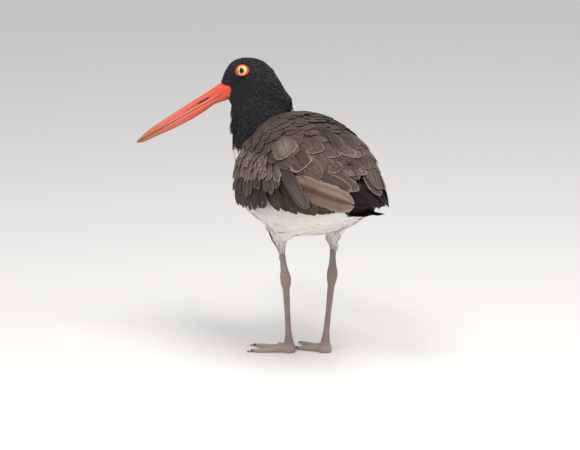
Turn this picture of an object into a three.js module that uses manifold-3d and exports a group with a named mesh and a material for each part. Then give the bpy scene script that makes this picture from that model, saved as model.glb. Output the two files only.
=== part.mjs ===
// A life-size oystercatcher standing still, with its head turned to its left. Millimetres, +Z up.
// The body faces -Y, its left side is +X and its toes stand on Z = 0.
import * as THREE from 'three';
import { mergeVertices } from 'three/addons/utils/BufferGeometryUtils.js';
import Module from 'manifold-3d';

const wasm = await Module();
wasm.setup();

const { degToRad, clamp, lerp } = THREE.MathUtils;
const v3 = (x, y, z) => new THREE.Vector3(x, y, z);

// Driving sizes, in millimetres and degrees
const GAP = 0.3; // clearance where one piece meets the next
const HEAD_TURN = 62; // how far the head looks to the left of the body
const HEAD_ROLL = 8; // how far the crown leans to the right
const HEAD_OFFSET = -57; // sideways place of the head's middle plane
const NECK_CUT = 205; // height at which head and neck part
const BREAST_START = -40; // where the breast begins to round off
const BREAST_LENGTH = 59; // from there to the foremost feathers
const BREAST_HEIGHT = 152; // height of the foremost point
const TAIL_CUT = 88; // where torso and tail part
const SHOULDER = 0.84; // fullness of the folded wings' upper side, 1 being an ellipse
const FLANK = 0.78; // and of the body's lower side
const BILL_LENGTH = 93; // gape to tip
const BILL_DROP = 29.5; // slope of the mouth line below level
const GAPE = { ahead: 66.6, height: 219.1 };
const EYE = { ahead: 55.6, beside: 8.9, height: 234.9, radius: 6.4, look: 12 };
const LID = { radius: 5.4, tall: 0.83, thickness: 0.75 }; // tall: height of the opening against its width
const FACE_FULLNESS = 0.85; // of the head's upper half, 1 being an ellipse

// The feet: where the shank meets the toes, the hock above it, the hip end, and each toe's heading
const LEGS = {
  left: {
    foot: v3(14.4, -7.6, 6), hock: v3(23.4, 3, 67.5), hip: v3(24, -13, 122),
    toes: { inner: [-10, 27], middle: [27, 35], outer: [64, 31] },
  },
  right: {
    foot: v3(-12.9, 6.8, 6), hock: v3(-15.5, 15, 70), hip: v3(-24, 2, 124),
    toes: { inner: [40, 26], middle: [6, 35], outer: [-31, 31] },
  },
};

const COLOURS = {
  black: ['#17171a', 0.75], brown: ['#4c4038', 0.8], white: ['#e9e6e0', 0.85], bill: ['#e2532b', 0.4],
  lid: ['#e0561f', 0.5], eye: ['#e8c45a', 0.1], leg: ['#b39a93', 0.6], claw: ['#3a3432', 0.4],
};

// A smooth curve through [place, value] pairs that stays level past its ends.
function curve(...knots) {
  const slope = knots.map((_, i) => {
    const [a, b] = [knots[Math.max(i - 1, 0)], knots[Math.min(i + 1, knots.length - 1)]];
    return (b[1] - a[1]) / (b[0] - a[0]);
  });
  return (place) => {
    const s = clamp(place, knots[0][0], knots.at(-1)[0]);
    const i = clamp(knots.findIndex((k) => k[0] >= s) - 1, 0, knots.length - 2);
    const [a, b] = [knots[i], knots[i + 1]];
    const [w, t] = [b[0] - a[0], (s - a[0]) / (b[0] - a[0])];
    return a[1] * (1 + 2 * t) * (1 - t) ** 2 + b[1] * t * t * (3 - 2 * t)
      + w * (slope[i] * t * (1 - t) ** 2 - slope[i + 1] * t * t * (1 - t));
  };
}

// The body along Y: half width without the wings, the back, the widest height and the belly
const bodyWidth = curve([-40, 41.5], [-10, 45], [20, 45], [50, 36], [80, 24], [100, 16], [131, 3]);
const backHeight = curve([-40, 203.5], [-25, 205.5], [0, 202.5], [40, 192], [80, 173.5], [110, 159.5],
  [131, 151]);
const girthHeight = curve([-40, 149], [0, 148], [60, 151], [131, 149]);
const bellyHeight = curve([-40, 104], [-20, 101.5], [10, 103.5], [40, 112], [70, 127], [100, 141.5],
  [131, 147.5]);
// How far the torso's own back lies below the folded wings: it falls away to the rump
const rumpDrop = curve([-45, 0], [0, 1], [30, 4], [60, 10], [88, 15]);
const BED_DEPTH = 3.2; // how far the torso lies back under a wing, from the back's middle round to the belly
const wingFront = curve([0, -22], [20, -25], [43, -29], [62, -38], [76, -46], [87, -58], [96, -66]);
const wingBed = (y, angle) => BED_DEPTH * clamp((y - wingFront(angle) + 4) / 10, 0, 1)
  * clamp((112 - angle) / 27, 0, 1);
// How far a folded wing stands out from the body at its widest
const wingDepth = curve([-82, 2], [-56, 4], [-20, 7], [60, 7.5], [90, 6.5], [131, 1.5]);

// A point of the body's surface. Angle 0 is the back's middle, 90 the side and 180 the belly.
// With the folded wings it is the outside of the whole body, and without them the torso under them.
function bodyPoint(y, angle, side, grow = 0, wing = 0) {
  const back = Math.max(y, BREAST_START);
  const round = y < BREAST_START ? Math.sqrt(Math.max(0, 1 - ((BREAST_START - y) / BREAST_LENGTH) ** 2)) : 1;
  const a = degToRad(angle);
  const drop = wing ? 0 : rumpDrop(y);
  const girth = girthHeight(back) - 0.3 * drop;
  const middle = lerp(BREAST_HEIGHT, girth, round);
  const bed = wing ? 0 : wingBed(y, angle);
  const width = (bodyWidth(back) + wing * wingDepth(y)) * round + grow - bed;
  const reach = Math.cos(a) > 0 ? backHeight(back) - drop - girth : girth - bellyHeight(back);
  const full = Math.cos(a) < 0 ? FLANK : wing ? SHOULDER : 1;
  return v3(side * width * Math.sin(a) ** full, y,
    middle + (reach * round + grow - bed) * Math.sign(Math.cos(a)) * Math.abs(Math.cos(a)) ** full);
}

// A point above the outside of a folded wing, lifted along the surface's own normal
function coatPoint(y, angle, side, lift = 0) {
  const at = bodyPoint(y, angle, 1, 0, 1);
  const along = bodyPoint(y + 0.5, angle, 1, 0, 1).sub(bodyPoint(y - 0.5, angle, 1, 0, 1));
  const round = bodyPoint(y, angle + 0.5, 1, 0, 1).sub(bodyPoint(y, angle - 0.5, 1, 0, 1));
  const out = round.cross(along).normalize();
  at.addScaledVector(out.x < 0 ? out.negate() : out, lift);
  at.x *= side;
  return at;
}

// The head's own frame: ahead along the bill's heading, beside to its left, and up
const AHEAD = v3(Math.sin(degToRad(HEAD_TURN)), -Math.cos(degToRad(HEAD_TURN)), 0);
const BESIDE = v3(Math.cos(degToRad(HEAD_TURN)), Math.sin(degToRad(HEAD_TURN)), 0);
function headPoint(ahead, beside, height, roll = HEAD_ROLL) {
  const [c, s] = [Math.cos(degToRad(roll)), Math.sin(degToRad(roll))];
  const up = height - NECK_CUT;
  return v3(0, 0, NECK_CUT + up * c + beside * s)
    .addScaledVector(AHEAD, ahead).addScaledVector(BESIDE, HEAD_OFFSET + beside * c - up * s);
}

// A closed solid from a geometry, whichever way round its faces came
function solid(geometry) {
  const g = (geometry.index ? geometry.toNonIndexed() : geometry.clone());
  for (const name of Object.keys(g.attributes)) if (name !== 'position') g.deleteAttribute(name);
  const merged = mergeVertices(g, 1e-4);
  const build = (triVerts) => new wasm.Manifold(
    new wasm.Mesh({ numProp: 3, vertProperties: merged.attributes.position.array, triVerts }));
  const made = build(new Uint32Array(merged.index.array));
  if (made.volume() > 0) return made;
  const turned = new Uint32Array(merged.index.array);
  for (let i = 0; i < turned.length; i += 3) [turned[i + 1], turned[i + 2]] = [turned[i + 2], turned[i + 1]];
  return build(turned);
}

// A skin over rings of points, closed at both ends on each ring's middle
function loft(rings) {
  const n = rings[0].length;
  const points = rings.flat();
  const faces = [];
  for (let i = 0; i + 1 < rings.length; i++) {
    for (let j = 0; j < n; j++) {
      const [a, b] = [i * n + j, i * n + (j + 1) % n];
      faces.push(a, b, a + n, b, b + n, a + n);
    }
  }
  for (const [ring, first] of [[rings[0], 0], [rings.at(-1), (rings.length - 1) * n]]) {
    const middle = ring.reduce((sum, p) => sum.add(p), v3(0, 0, 0)).divideScalar(n);
    points.push(middle);
    for (let j = 0; j < n; j++) {
      const [a, b] = [first + j, first + (j + 1) % n];
      faces.push(...(first ? [a, b, points.length - 1] : [b, a, points.length - 1]));
    }
  }
  return solid(new THREE.BufferGeometry().setFromPoints(points).setIndex(faces));
}

// A ring of points round a centre, from its half sizes along two axes
function ring(centre, across, upward, halfWidth, halfHeight, count) {
  return Array.from({ length: count }, (_, i) => {
    const a = (i / count) * 2 * Math.PI;
    return centre.clone().addScaledVector(across, halfWidth * Math.cos(a))
      .addScaledVector(upward, halfHeight * Math.sin(a));
  });
}

const steps = (from, to, count) => Array.from({ length: count + 1 }, (_, i) => lerp(from, to, i / count));
const union = (...solids) => wasm.Manifold.union(solids);
const largest = (made) => made.decompose().reduce((a, b) => (a.volume() > b.volume() ? a : b));

// The torso from the breast to the root of the tail
const AROUND = 24;
function torsoSolid(grow, end) {
  const front = steps(88, 12, 5).map((a) => BREAST_START - BREAST_LENGTH * Math.sin(degToRad(a)));
  const rest = steps(BREAST_START, end, Math.round((end - BREAST_START) / 15));
  return loft([...front, ...rest].map((y) => Array.from({ length: AROUND }, (_, j) => {
    const angle = (j / AROUND) * 360;
    return angle <= 180 ? bodyPoint(y, angle, 1, grow) : bodyPoint(y, 360 - angle, -1, grow);
  })));
}

// The neck: rings laid level, from inside the breast to inside the head
const NECK_RINGS = [
  // height, ahead, beside, half length, half width
  [148, 31, 3, 30, 30], [166, 35, 3, 31, 29], [184, 38.5, 2, 27.4, 26], [198, 40.3, 1, 25.6, 22.5],
  [209, 42, 0, 25, 19.5], [219, 45, 0, 22, 16.5], [227, 47, 0, 15, 12],
];
const neckSolid = (grow = 0) => loft(NECK_RINGS.map(([height, ahead, beside, length, width]) =>
  ring(headPoint(ahead, beside, height), AHEAD, BESIDE, length + grow, width + grow, 20)));

// The head: rings across it, from the nape to the root of the bill
const crown = curve([15, 213], [20, 220], [26, 231.5], [32, 239.5], [40, 245.2], [50, 247.7], [60, 246.8],
  [66, 244], [71, 238], [74.5, 230.5], [76.5, 225]);
const throat = curve([15, 205], [24, 200], [40, 196], [58, 198], [64, 201], [68, 207], [70.5, 211.5],
  [76.5, 217]);
const cheek = curve([15, 6], [19, 10.5], [26, 14.5], [38, 17.3], [50, 16.8], [57, 14.4], [63, 10.9], [67, 8.8],
  [72, 7.4], [76.5, 5.8]);
const headSolid = (grow = 0) => loft([14, 18, 23, 30, 38, 47, 56, 63, 68, 72, 76.5].map((ahead) => {
  const [top, bottom, wide] = [crown(ahead) + grow, throat(ahead) - grow, cheek(ahead) + grow];
  const middle = lerp(bottom, top, 0.42);
  return Array.from({ length: 20 }, (_, j) => {
    const a = (j / 20) * 2 * Math.PI;
    const [across, above] = [Math.cos(a), Math.sin(a)];
    if (above <= 0) return headPoint(ahead, wide * across, middle + (middle - bottom) * above);
    return headPoint(ahead, wide * Math.sign(across) * Math.abs(across) ** FACE_FULLNESS,
      middle + (top - middle) * above ** FACE_FULLNESS);
  });
}));
// Where the bill's root parts the feathers of the face: back to the gape, with the chin's feathers below it
const FACE_NOTCH = [[GAPE.ahead, 219.4], [76.2, 225.2], [90, 226], [90, 200], [72, 204], [68.6, 208.4],
  [71, 214.4]]; // ahead and height of its corners
const NOTCH_REACH = 15; // past either cheek
const faceNotch = (back = 0) => loft([-NOTCH_REACH, NOTCH_REACH].map((beside) =>
  FACE_NOTCH.map(([ahead, height]) => headPoint(ahead + back, beside, height))));

// The bill: offsets above and below the mouth line, and the half width, along it from the gape
const culmen = curve([0, 9.4], [6, 8.9], [20, 7.7], [36, 7.1], [53, 6.2], [70, 5.2], [82, 3.6],
  [BILL_LENGTH, 0.7]);
const gonys = curve([0, 7.6], [9, 6.4], [18, 4.6], [28, 5.5], [43, 6.1], [60, 5.3], [75, 3.9], [88, 2.7],
  [BILL_LENGTH, 0.7]);
const billWidth = curve([-8, 8.2], [0, 7.5], [6, 6.4], [13, 5], [28, 3.7], [50, 2.6], [75, 1.7],
  [BILL_LENGTH, 0.7]);
const MOUTH = GAP / 2; // each half's mouth side lies this far from the mouth line
function billPoint(along, beside, above) {
  const [c, s] = [Math.cos(degToRad(BILL_DROP)), Math.sin(degToRad(BILL_DROP))];
  return headPoint(GAPE.ahead + along * c + above * s, beside, GAPE.height - along * s + above * c);
}
function mandible(edge, sign) {
  const places = [-8, 0, 8, 17, 27, 40, 54, 68, 80, 89, BILL_LENGTH];
  return loft(places.map((along) => {
    const [depth, wide] = [edge(along), billWidth(along)];
    // a flat mouth side, then a half round that is fuller at the shoulders
    return steps(0, 180, 8).map((angle) => {
      const a = degToRad(angle);
      const across = Math.sign(Math.cos(a)) * Math.abs(Math.cos(a)) ** 0.75;
      return billPoint(along, wide * across, sign * (MOUTH + (depth - MOUTH) * Math.sin(a) ** 0.85));
    });
  }));
}
function nostril(side) {
  const [start, end] = [20, 32];
  return loft([start, start + 2, (start + end) / 2, end - 2, end].map((along, i) => ring(
    billPoint(along, side * billWidth(along), 2.9 - (along - start) * 0.03), BESIDE,
    billPoint(0, 0, 1).sub(billPoint(0, 0, 0)), 1.3, [0.2, 0.8, 0.9, 0.7, 0.2][i], 8)));
}

// The eyeball and the round lid that frames it
const EYE_RAISED = 0.2; // how far up the eye looks, over a line of length one
function eyeFrame(side) {
  const centre = headPoint(EYE.ahead, side * EYE.beside, EYE.height);
  const look = degToRad(EYE.look);
  const tip = headPoint(EYE.ahead + Math.sin(look), side * (EYE.beside + Math.cos(look)),
    EYE.height + EYE_RAISED);
  return { centre, out: tip.sub(centre).normalize() };
}
function eyeSolid(side, grow = 0) {
  const { centre } = eyeFrame(side);
  return solid(new THREE.SphereGeometry(EYE.radius + grow, 14, 9).translate(centre.x, centre.y, centre.z));
}
// A ring that lies on the eyeball, wider than tall
function lidSolid(side, grow = 0) {
  const { centre, out } = eyeFrame(side);
  const forward = AHEAD.clone().addScaledVector(out, -AHEAD.dot(out)).normalize();
  const upward = forward.clone().cross(out).multiplyScalar(-side);
  if (upward.z < 0) upward.negate();
  const lid = new THREE.TorusGeometry(LID.radius, LID.thickness + grow, 6, 18);
  const place = lid.getAttribute('position');
  for (let i = 0; i < place.count; i++) {
    const [x, y, z] = [place.getX(i), place.getY(i), place.getZ(i)];
    const turn = Math.atan2(y, x);
    const tall = y - (1 - LID.tall) * LID.radius * Math.sin(turn);
    const line = v3(LID.radius * Math.cos(turn), LID.tall * LID.radius * Math.sin(turn), 0).length();
    const at = centre.clone().addScaledVector(forward, x).addScaledVector(upward, tall)
      .addScaledVector(out, z + Math.sqrt(EYE.radius ** 2 - line ** 2) + GAP);
    place.setXYZ(i, at.x, at.y, at.z);
  }
  return solid(lid);
}

// A leg: rings along a line, with the feathered thigh, the bare shank, the hock and the tarsus
const FOOT_TOP = 8; // height at which tarsus and knuckle part
function limb(from, to, sizes, grow = 0, count = 12) {
  const line = to.clone().sub(from);
  const across = v3(0, -line.z, line.y).cross(line).normalize();
  const fore = line.clone().cross(across).normalize();
  return loft(sizes.map(([share, wide, deep]) => ring(from.clone().addScaledVector(line, share),
    across, fore, wide + grow, deep + grow, count)));
}
const thighSolid = ({ hip, hock }, grow = 0) => limb(hip, hock,
  [[0, 10, 13], [0.2, 10, 13.5], [0.36, 8.2, 10.5], [0.48, 5.6, 7], [0.62, 3.7, 4.2]], grow);
const shankSolid = ({ hip, hock }) => limb(hip, hock,
  [[0.5, 2.7, 2.9], [0.75, 2.5, 2.9], [0.87, 3.2, 3.9], [0.95, 4.3, 4.9], [1.03, 4.6, 5.1]]);
const tarsusSolid = ({ hock, foot }) => limb(hock, foot, [[-0.03, 4.6, 5.1], [0.07, 4.2, 4.8], [0.16, 2.9, 3.4],
  [0.5, 2.3, 2.7], [0.8, 2.5, 3], [0.92, 3.6, 4], [1.03, 4.4, 4.7]]);

// The foot: a knuckle and three padded toes, flat below, each with its claw
function flatBelow(rings) {
  for (const r of rings) for (const p of r) p.z = Math.max(p.z, 0);
  return rings;
}
const knuckleSolid = (foot, grow = 0) => loft([[0, 5.2], [2.5, 5.9], [5.5, 5.3], [9.5, 4.4]]
  .map(([height, wide]) =>
    ring(v3(foot.x, foot.y, height), v3(1, 0, 0), v3(0, 1, 0), wide + grow, wide + grow, 10)));
// Rings along a toe's heading: share of its length, half width, half height and height of the middle
function alongToe(foot, [heading, length], rings, grow, count) {
  const h = degToRad(heading);
  const ahead = v3(Math.sin(h), -Math.cos(h), 0);
  return loft(flatBelow(rings.map(([share, wide, high, height]) => ring(
    v3(foot.x, foot.y, height).addScaledVector(ahead, share * length), v3(-ahead.y, ahead.x, 0), v3(0, 0, 1),
    wide + grow, high + grow, count))));
}
const toeSolid = (foot, toe, grow = 0) => alongToe(foot, toe, [[0, 2.7, 5.2, 4], [0.14, 3, 4.6, 3.4],
  [0.32, 2.7, 3.3, 2.5], [0.5, 2.6, 2.7, 2], [0.68, 2.6, 2.4, 1.8], [0.86, 2.3, 2, 1.5],
  [0.97, 1.8, 1.6, 1.2]], grow, 8);
const clawSolid = (foot, toe) => alongToe(foot, toe, [[0.9, 1.1, 1.4, 1.9], [1, 1.15, 1.4, 1.7],
  [1.1, 0.8, 1, 1.15], [1.18, 0.35, 0.4, 0.45]], 0, 6);

// Feathers
// A seeded draw between -1 and 1, so that no two feathers of a tier are alike
function draw(seed) {
  let state = seed;
  return () => {
    state = (state + 0x6d2b79f5) | 0;
    let t = Math.imul(state ^ (state >>> 15), 1 | state);
    t = (t + Math.imul(t ^ (t >>> 7), 61 | t)) ^ t;
    return ((t ^ (t >>> 14)) >>> 0) / 2 ** 31 - 1;
  };
}

// A thin closed vane from rows of points across it, split into triangles alike on both faces
function vane(rows) {
  const [count, across] = [rows.length, rows[0].upper.length];
  const points = [...rows.flatMap((r) => r.upper), ...rows.flatMap((r) => r.lower)];
  const [up, down] = [(i, j) => i * across + j, (i, j) => (count + i) * across + j];
  const faces = [];
  for (let i = 0; i + 1 < count; i++) {
    for (let j = 0; j + 1 < across; j++) {
      faces.push(up(i, j), up(i + 1, j + 1), up(i, j + 1), up(i, j), up(i + 1, j), up(i + 1, j + 1));
      faces.push(down(i, j), down(i, j + 1), down(i + 1, j + 1));
      faces.push(down(i, j), down(i + 1, j + 1), down(i + 1, j));
    }
    const last = across - 1;
    faces.push(up(i, 0), down(i, 0), down(i + 1, 0), up(i, 0), down(i + 1, 0), up(i + 1, 0));
    faces.push(up(i, last), down(i + 1, last), down(i, last), up(i, last), up(i + 1, last), down(i + 1, last));
  }
  for (let j = 0; j + 1 < across; j++) {
    const end = count - 1;
    faces.push(up(0, j), up(0, j + 1), down(0, j + 1), up(0, j), down(0, j + 1), down(0, j));
    faces.push(up(end, j), down(end, j + 1), up(end, j + 1), up(end, j), down(end, j), down(end, j + 1));
  }
  return solid(new THREE.BufferGeometry().setFromPoints(points).setIndex(faces));
}

// Shape of a feather along its length: share of the half width, and thickness
const STATIONS = [[0, 0.62, 1.1], [0.45, 0.98, 0.8], [0.82, 0.88, 0.65], [1, 0.25, 0.5]];
const CROSS_RADIUS = 36; // how round a feather lies across the body
const TILT = 0.5; // rise of the edge that overlaps its neighbour, at the widest
// A feather on the wing's coat. Root and tip are [y, angle]; it rises from below the core to the outside.
const SUNK = 1.2; // how deep a feather's root lies in the core
const RIDGE = 0.35; // how far the shaft stands up from a large feather
function coatFeather(side, root, tip, half, { ridge = false, rise = [-CORE_DEPTH - SUNK, 0.2], over } = {}) {
  const place = (share, lift) =>
    coatPoint(lerp(root[0], tip[0], share), lerp(root[1], tip[1], share), side, lift);
  return vane(STATIONS.map(([share, wide, thick]) => {
    const lift = lerp(rise[0], rise[1], share ** 0.7);
    const middle = place(share, lift);
    const along = place(share + 0.02, lift).sub(place(share - 0.02, lift)).normalize();
    const out = place(share, lift + 1).sub(middle).normalize();
    const across = out.clone().cross(along).normalize();
    const neighbour = over === 'y' ? v3(0, 1, 0)
      : coatPoint(root[0], root[1] + 1, side).sub(coatPoint(root[0], root[1], side));
    if (across.dot(neighbour) < 0) across.negate();
    const w = half * wide;
    const rows = (ridge ? [-1, 0, 1] : [-1, 1]).map((c) => middle.clone().addScaledVector(across, c * w)
      .addScaledVector(out, c * TILT * wide - (c * w) ** 2 / (2 * CROSS_RADIUS) + (c ? 0 : RIDGE)));
    return { upper: rows.map((p) => p.clone().addScaledVector(out, thick / 2)),
      lower: rows.map((p) => p.clone().addScaledVector(out, -thick / 2)) };
  }));
}

// A tier: evenly spread feathers from the first root and tip to the last
function tier(side, count, [rootA, rootB], [tipA, tipB], [halfA, halfB], jitter, options) {
  const random = draw(count * 97 + Math.round(rootA[0] * 13 + rootA[1] * 7) + (side > 0 ? 5000 : 0));
  return steps(0, 1, count - 1).map((t) => coatFeather(side,
    [lerp(rootA[0], rootB[0], t), lerp(rootA[1], rootB[1], t)],
    [lerp(tipA[0], tipB[0], t) + jitter * random(), lerp(tipA[1], tipB[1], t) + jitter * 0.5 * random()],
    lerp(halfA, halfB, t) * (1 + 0.06 * random()), options));
}

// The folded wing: a core over the body's side, closed along the body's middle plane, under the tiers
const CORE_DEPTH = 2.4; // core below the outside of the feathers
const CORE_END = 92;
const WING_FLOOR = 149.5; // underside of the wing tips over the tail
const CORE_START = -66; // foremost place of the wing's bend
const wingEdge = curve([CORE_START, 104], [-54, 112], [-44, 112], [-12, 100], [24, 93], [44, 97], [70, 106],
  [CORE_END, 108]);
const wingTop = curve([CORE_START, 96], [-58, 87], [-46, 76], [-38, 62], [-29, 43], [-25, 20], [-18, 5],
  [-8, 2.5], [10, 2], [CORE_END, 2]);
const RUMP = { start: 75, depth: 6 }; // from here back the core sinks, to this depth at its end
const EDGE_TURN = 3; // how far the core's lower edge turns in
const wingCore = (side) => loft(steps(CORE_START, CORE_END, 13).map((y) => {
  const sink = (y - RUMP.start) / (CORE_END - RUMP.start);
  const depth = Math.max(CORE_DEPTH, lerp(CORE_DEPTH, RUMP.depth, sink));
  const arc = steps(wingTop(y), wingEdge(y), 8)
    .map((angle, i) => coatPoint(y, angle, side, i < 8 ? -depth : -depth - EDGE_TURN));
  for (const p of arc) p.x = side * Math.max(side * p.x, 2 * GAP);
  return [...arc, v3(side * 2 * GAP, y, Math.min(WING_FLOOR, arc[0].z - 1))];
}));
function wingFeathers(side) {
  const rows = [
    // primaries: long, narrow and black, to the tip of the wing
    tier(side, 4, [[58, 50], [66, 90]], [[128, 60], [106, 104]], [6, 5], 1, { rise: [-6, -1] }),
    // secondaries along the lower edge, then the large dark tertials over the rump
    tier(side, 6, [[-16, 88], [52, 92]], [[24, 102], [95, 123]], [6.5, 6.5], 2, { rise: [-4.2, -0.8] }),
    tier(side, 3, [[30, 76], [52, 44]], [[88, 92], [106, 40]], [9, 7.5], 2, { ridge: true, rise: [-4.5, -0.4] }),
    tier(side, 2, [[46, 24], [58, 14]], [[100, 22], [112, 27]], [7.5, 6], 2, { rise: [-4.5, -0.2] }),
    // greater, median and lesser coverts
    tier(side, 8, [[-64, 90], [22, 78]], [[-50, 119], [50, 102]], [6, 6.5], 2, { over: 'y' }),
    tier(side, 7, [[-55, 78], [10, 70]], [[-60, 101], [32, 90]], [6, 6.5], 2, { over: 'y', rise: [-3.6, 0.6] }),
    tier(side, 6, [[-40, 60], [0, 58]], [[-50, 83], [16, 78]], [5.5, 7], 2, { over: 'y', rise: [-3.6, 0.9] }),
    // scapulars, in three rows from the side to the back
    tier(side, 5, [[-32, 50], [34, 50]], [[-8, 65], [76, 62]], [8.5, 9.5], 2, { ridge: true, rise: [-3.8, 0.9] }),
    tier(side, 5, [[-30, 32], [32, 28]], [[-12, 44], [74, 36]], [8, 9], 2, { ridge: true, rise: [-3.8, 1.1] }),
    tier(side, 5, [[-28, 15], [38, 10]], [[-10, 22], [76, 14]], [7, 7], 2, { ridge: true, rise: [-3.8, 1.3] }),
  ];
  return union(...rows.flat());
}

// The tail: a flat core under the wing tips, and its fan of feathers
const TAIL_END = 117;
function tailCore(grow = 0) {
  return loft([[TAIL_CUT - 10, 17, 141.5, 8.5], [TAIL_CUT + 5, 15, 140.2, 6], [102, 11, 140.3, 2.5],
    [107, 8, 140.8, 0.9]].map(([y, wide, z, high]) =>
    ring(v3(0, y + (y > 105 ? grow : 0), z), v3(1, 0, 0), v3(0, 0, 1), wide + grow, high + grow, 14)));
}
function tailFeather(share, grow = 0) {
  const [root, tip] = [v3(share * 9, 92, 141.6 - 3 * Math.abs(share)),
    v3(share * 8.6, TAIL_END - 3 * share * share, 143 - 2.2 * Math.abs(share))];
  return vane(STATIONS.map(([s, wide, thick]) => {
    const middle = root.clone().lerp(tip, s);
    const half = 4.2 * (0.9 + 0.1 * wide) * (s === 1 ? 0.6 : 1) + grow;
    const row = [-1, 1].map((c) => middle.clone().add(v3(c * half, 0, -Math.sign(share) * c * 0.3)));
    return { upper: row.map((p) => p.clone().setZ(p.z + thick / 2 + grow)),
      lower: row.map((p) => p.clone().setZ(p.z - thick / 2 - grow)) };
  }));
}
const tailSolid = (grow = 0) => union(tailCore(grow), ...steps(-1, 1, 7).map((share) => tailFeather(share, grow)));

const SIDES = { left: 1, right: -1 };
const model = new THREE.Group();
function add(name, made, colour) {
  const mesh = largest(made).getMesh();
  const n = mesh.numProp;
  const position = new Float32Array(mesh.numVert * 3);
  for (let i = 0; i < mesh.numVert; i++) position.set(mesh.vertProperties.subarray(i * n, i * n + 3), i * 3);
  const geometry = new THREE.BufferGeometry()
    .setAttribute('position', new THREE.BufferAttribute(position, 3))
    .setIndex(new THREE.BufferAttribute(mesh.triVerts, 1));
  geometry.computeVertexNormals();
  const [hex, roughness] = COLOURS[colour];
  const node = new THREE.Mesh(geometry, new THREE.MeshStandardMaterial({ color: hex, roughness, metalness: 0 }));
  node.name = name;
  model.add(node);
}

const TORSO_END = TAIL_CUT + 12; // past the cut, so that the cut's face is whole
const torso = torsoSolid(0, TORSO_END);
const torsoRoom = torsoSolid(GAP, TORSO_END);
const neckRoom = neckSolid(GAP);
const headRoom = union(headSolid(GAP).subtract(faceNotch(GAP)), neckRoom.trimByPlane([0, 0, 1], NECK_CUT));

// Torso, neck and head are one skin parted by thin cuts
add('torso', torso.trimByPlane([0, -1, 0], -TAIL_CUT), 'brown');
add('neck', neckSolid().trimByPlane([0, 0, -1], -NECK_CUT + GAP).subtract(torsoRoom), 'black');
let head = union(headSolid().subtract(faceNotch()), neckSolid()).trimByPlane([0, 0, 1], NECK_CUT);
for (const side of Object.values(SIDES)) head = head.subtract(union(eyeSolid(side, GAP), lidSolid(side, GAP)));
add('head', head, 'black');

let upperBill = mandible(culmen, 1).subtract(headRoom);
for (const side of Object.values(SIDES)) upperBill = upperBill.subtract(nostril(side));
add('bill_upper', upperBill, 'bill');
add('bill_lower', mandible(gonys, -1).subtract(headRoom), 'bill');

add('tail', tailSolid().trimByPlane([0, 1, 0], TAIL_CUT + GAP), 'black');
const tailRoom = tailSolid(GAP);

for (const [name, side] of Object.entries(SIDES)) {
  add(`${name}_eye`, eyeSolid(side), 'eye');
  add(`${name}_lid`, lidSolid(side).subtract(eyeSolid(side, GAP)), 'lid');
  const wing = union(wingCore(side), wingFeathers(side)).trimByPlane([side, 0, 0], GAP);
  add(`${name}_wing`, wing.subtract(union(torsoRoom, neckRoom, tailRoom)), 'brown');

  const leg = LEGS[name];
  const { foot, hock } = leg;
  add(`${name}_thigh`, thighSolid(leg).subtract(torsoRoom), 'white');
  const thighRoom = union(thighSolid(leg, GAP), torsoRoom);
  add(`${name}_shank`, shankSolid(leg).trimByPlane([0, 0, 1], hock.z).subtract(thighRoom), 'leg');
  const tarsus = tarsusSolid(leg).trimByPlane([0, 0, -1], GAP - hock.z);
  add(`${name}_tarsus`, tarsus.trimByPlane([0, 0, 1], FOOT_TOP), 'leg');
  add(`${name}_knuckle`, knuckleSolid(foot).trimByPlane([0, 0, -1], GAP - FOOT_TOP), 'leg');
  let taken = knuckleSolid(foot, GAP);
  for (const [toeName, toe] of Object.entries(leg.toes)) {
    add(`${name}_toe_${toeName}`, toeSolid(foot, toe).subtract(taken), 'leg');
    taken = union(taken, toeSolid(foot, toe, GAP));
    add(`${name}_claw_${toeName}`, clawSolid(foot, toe).subtract(toeSolid(foot, toe, GAP)), 'claw');
  }
}

// The origin is on the floor below the middle of the whole bird
const box = new THREE.Box3().setFromObject(model);
model.position.set(-(box.min.x + box.max.x) / 2, -(box.min.y + box.max.y) / 2, -box.min.z);

export default model;
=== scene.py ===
"""A life-size oystercatcher: skin, feathers, bill, eyes and legs, built round its solids.

Sizes in the functions are millimetres in the bird's own frame: it faces -Y, its left is +X, its toes
stand on Z = 0. The meshes are the same points moved onto the solids and turned to metres.
"""

import math

import bmesh
import bpy
import numpy as np
from bpy.props import FloatProperty, FloatVectorProperty, PointerProperty
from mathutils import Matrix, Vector
from mathutils.bvhtree import BVHTree


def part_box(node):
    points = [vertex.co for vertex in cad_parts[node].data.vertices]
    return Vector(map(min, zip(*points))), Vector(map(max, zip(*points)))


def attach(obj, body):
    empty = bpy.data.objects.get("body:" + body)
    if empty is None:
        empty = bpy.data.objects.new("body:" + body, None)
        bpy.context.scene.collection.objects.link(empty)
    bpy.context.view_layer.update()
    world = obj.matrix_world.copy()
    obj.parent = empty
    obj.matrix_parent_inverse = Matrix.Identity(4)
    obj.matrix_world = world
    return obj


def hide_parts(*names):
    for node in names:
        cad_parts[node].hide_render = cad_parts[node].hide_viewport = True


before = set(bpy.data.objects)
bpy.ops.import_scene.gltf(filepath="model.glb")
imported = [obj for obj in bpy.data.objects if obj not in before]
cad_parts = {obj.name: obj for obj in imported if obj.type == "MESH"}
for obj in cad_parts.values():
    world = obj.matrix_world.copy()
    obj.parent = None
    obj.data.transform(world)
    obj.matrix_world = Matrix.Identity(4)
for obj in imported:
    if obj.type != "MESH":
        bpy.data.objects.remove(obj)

bl_info = {
    "name": "Oystercatcher",
    "version": (1, 0, 0),
    "blender": (4, 5, 0),
    "location": "View3D > Sidebar > Oystercatcher",
    "description": "Builds a standing oystercatcher, feather by feather, over its solids",
    "category": "Add Mesh",
}

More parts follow.
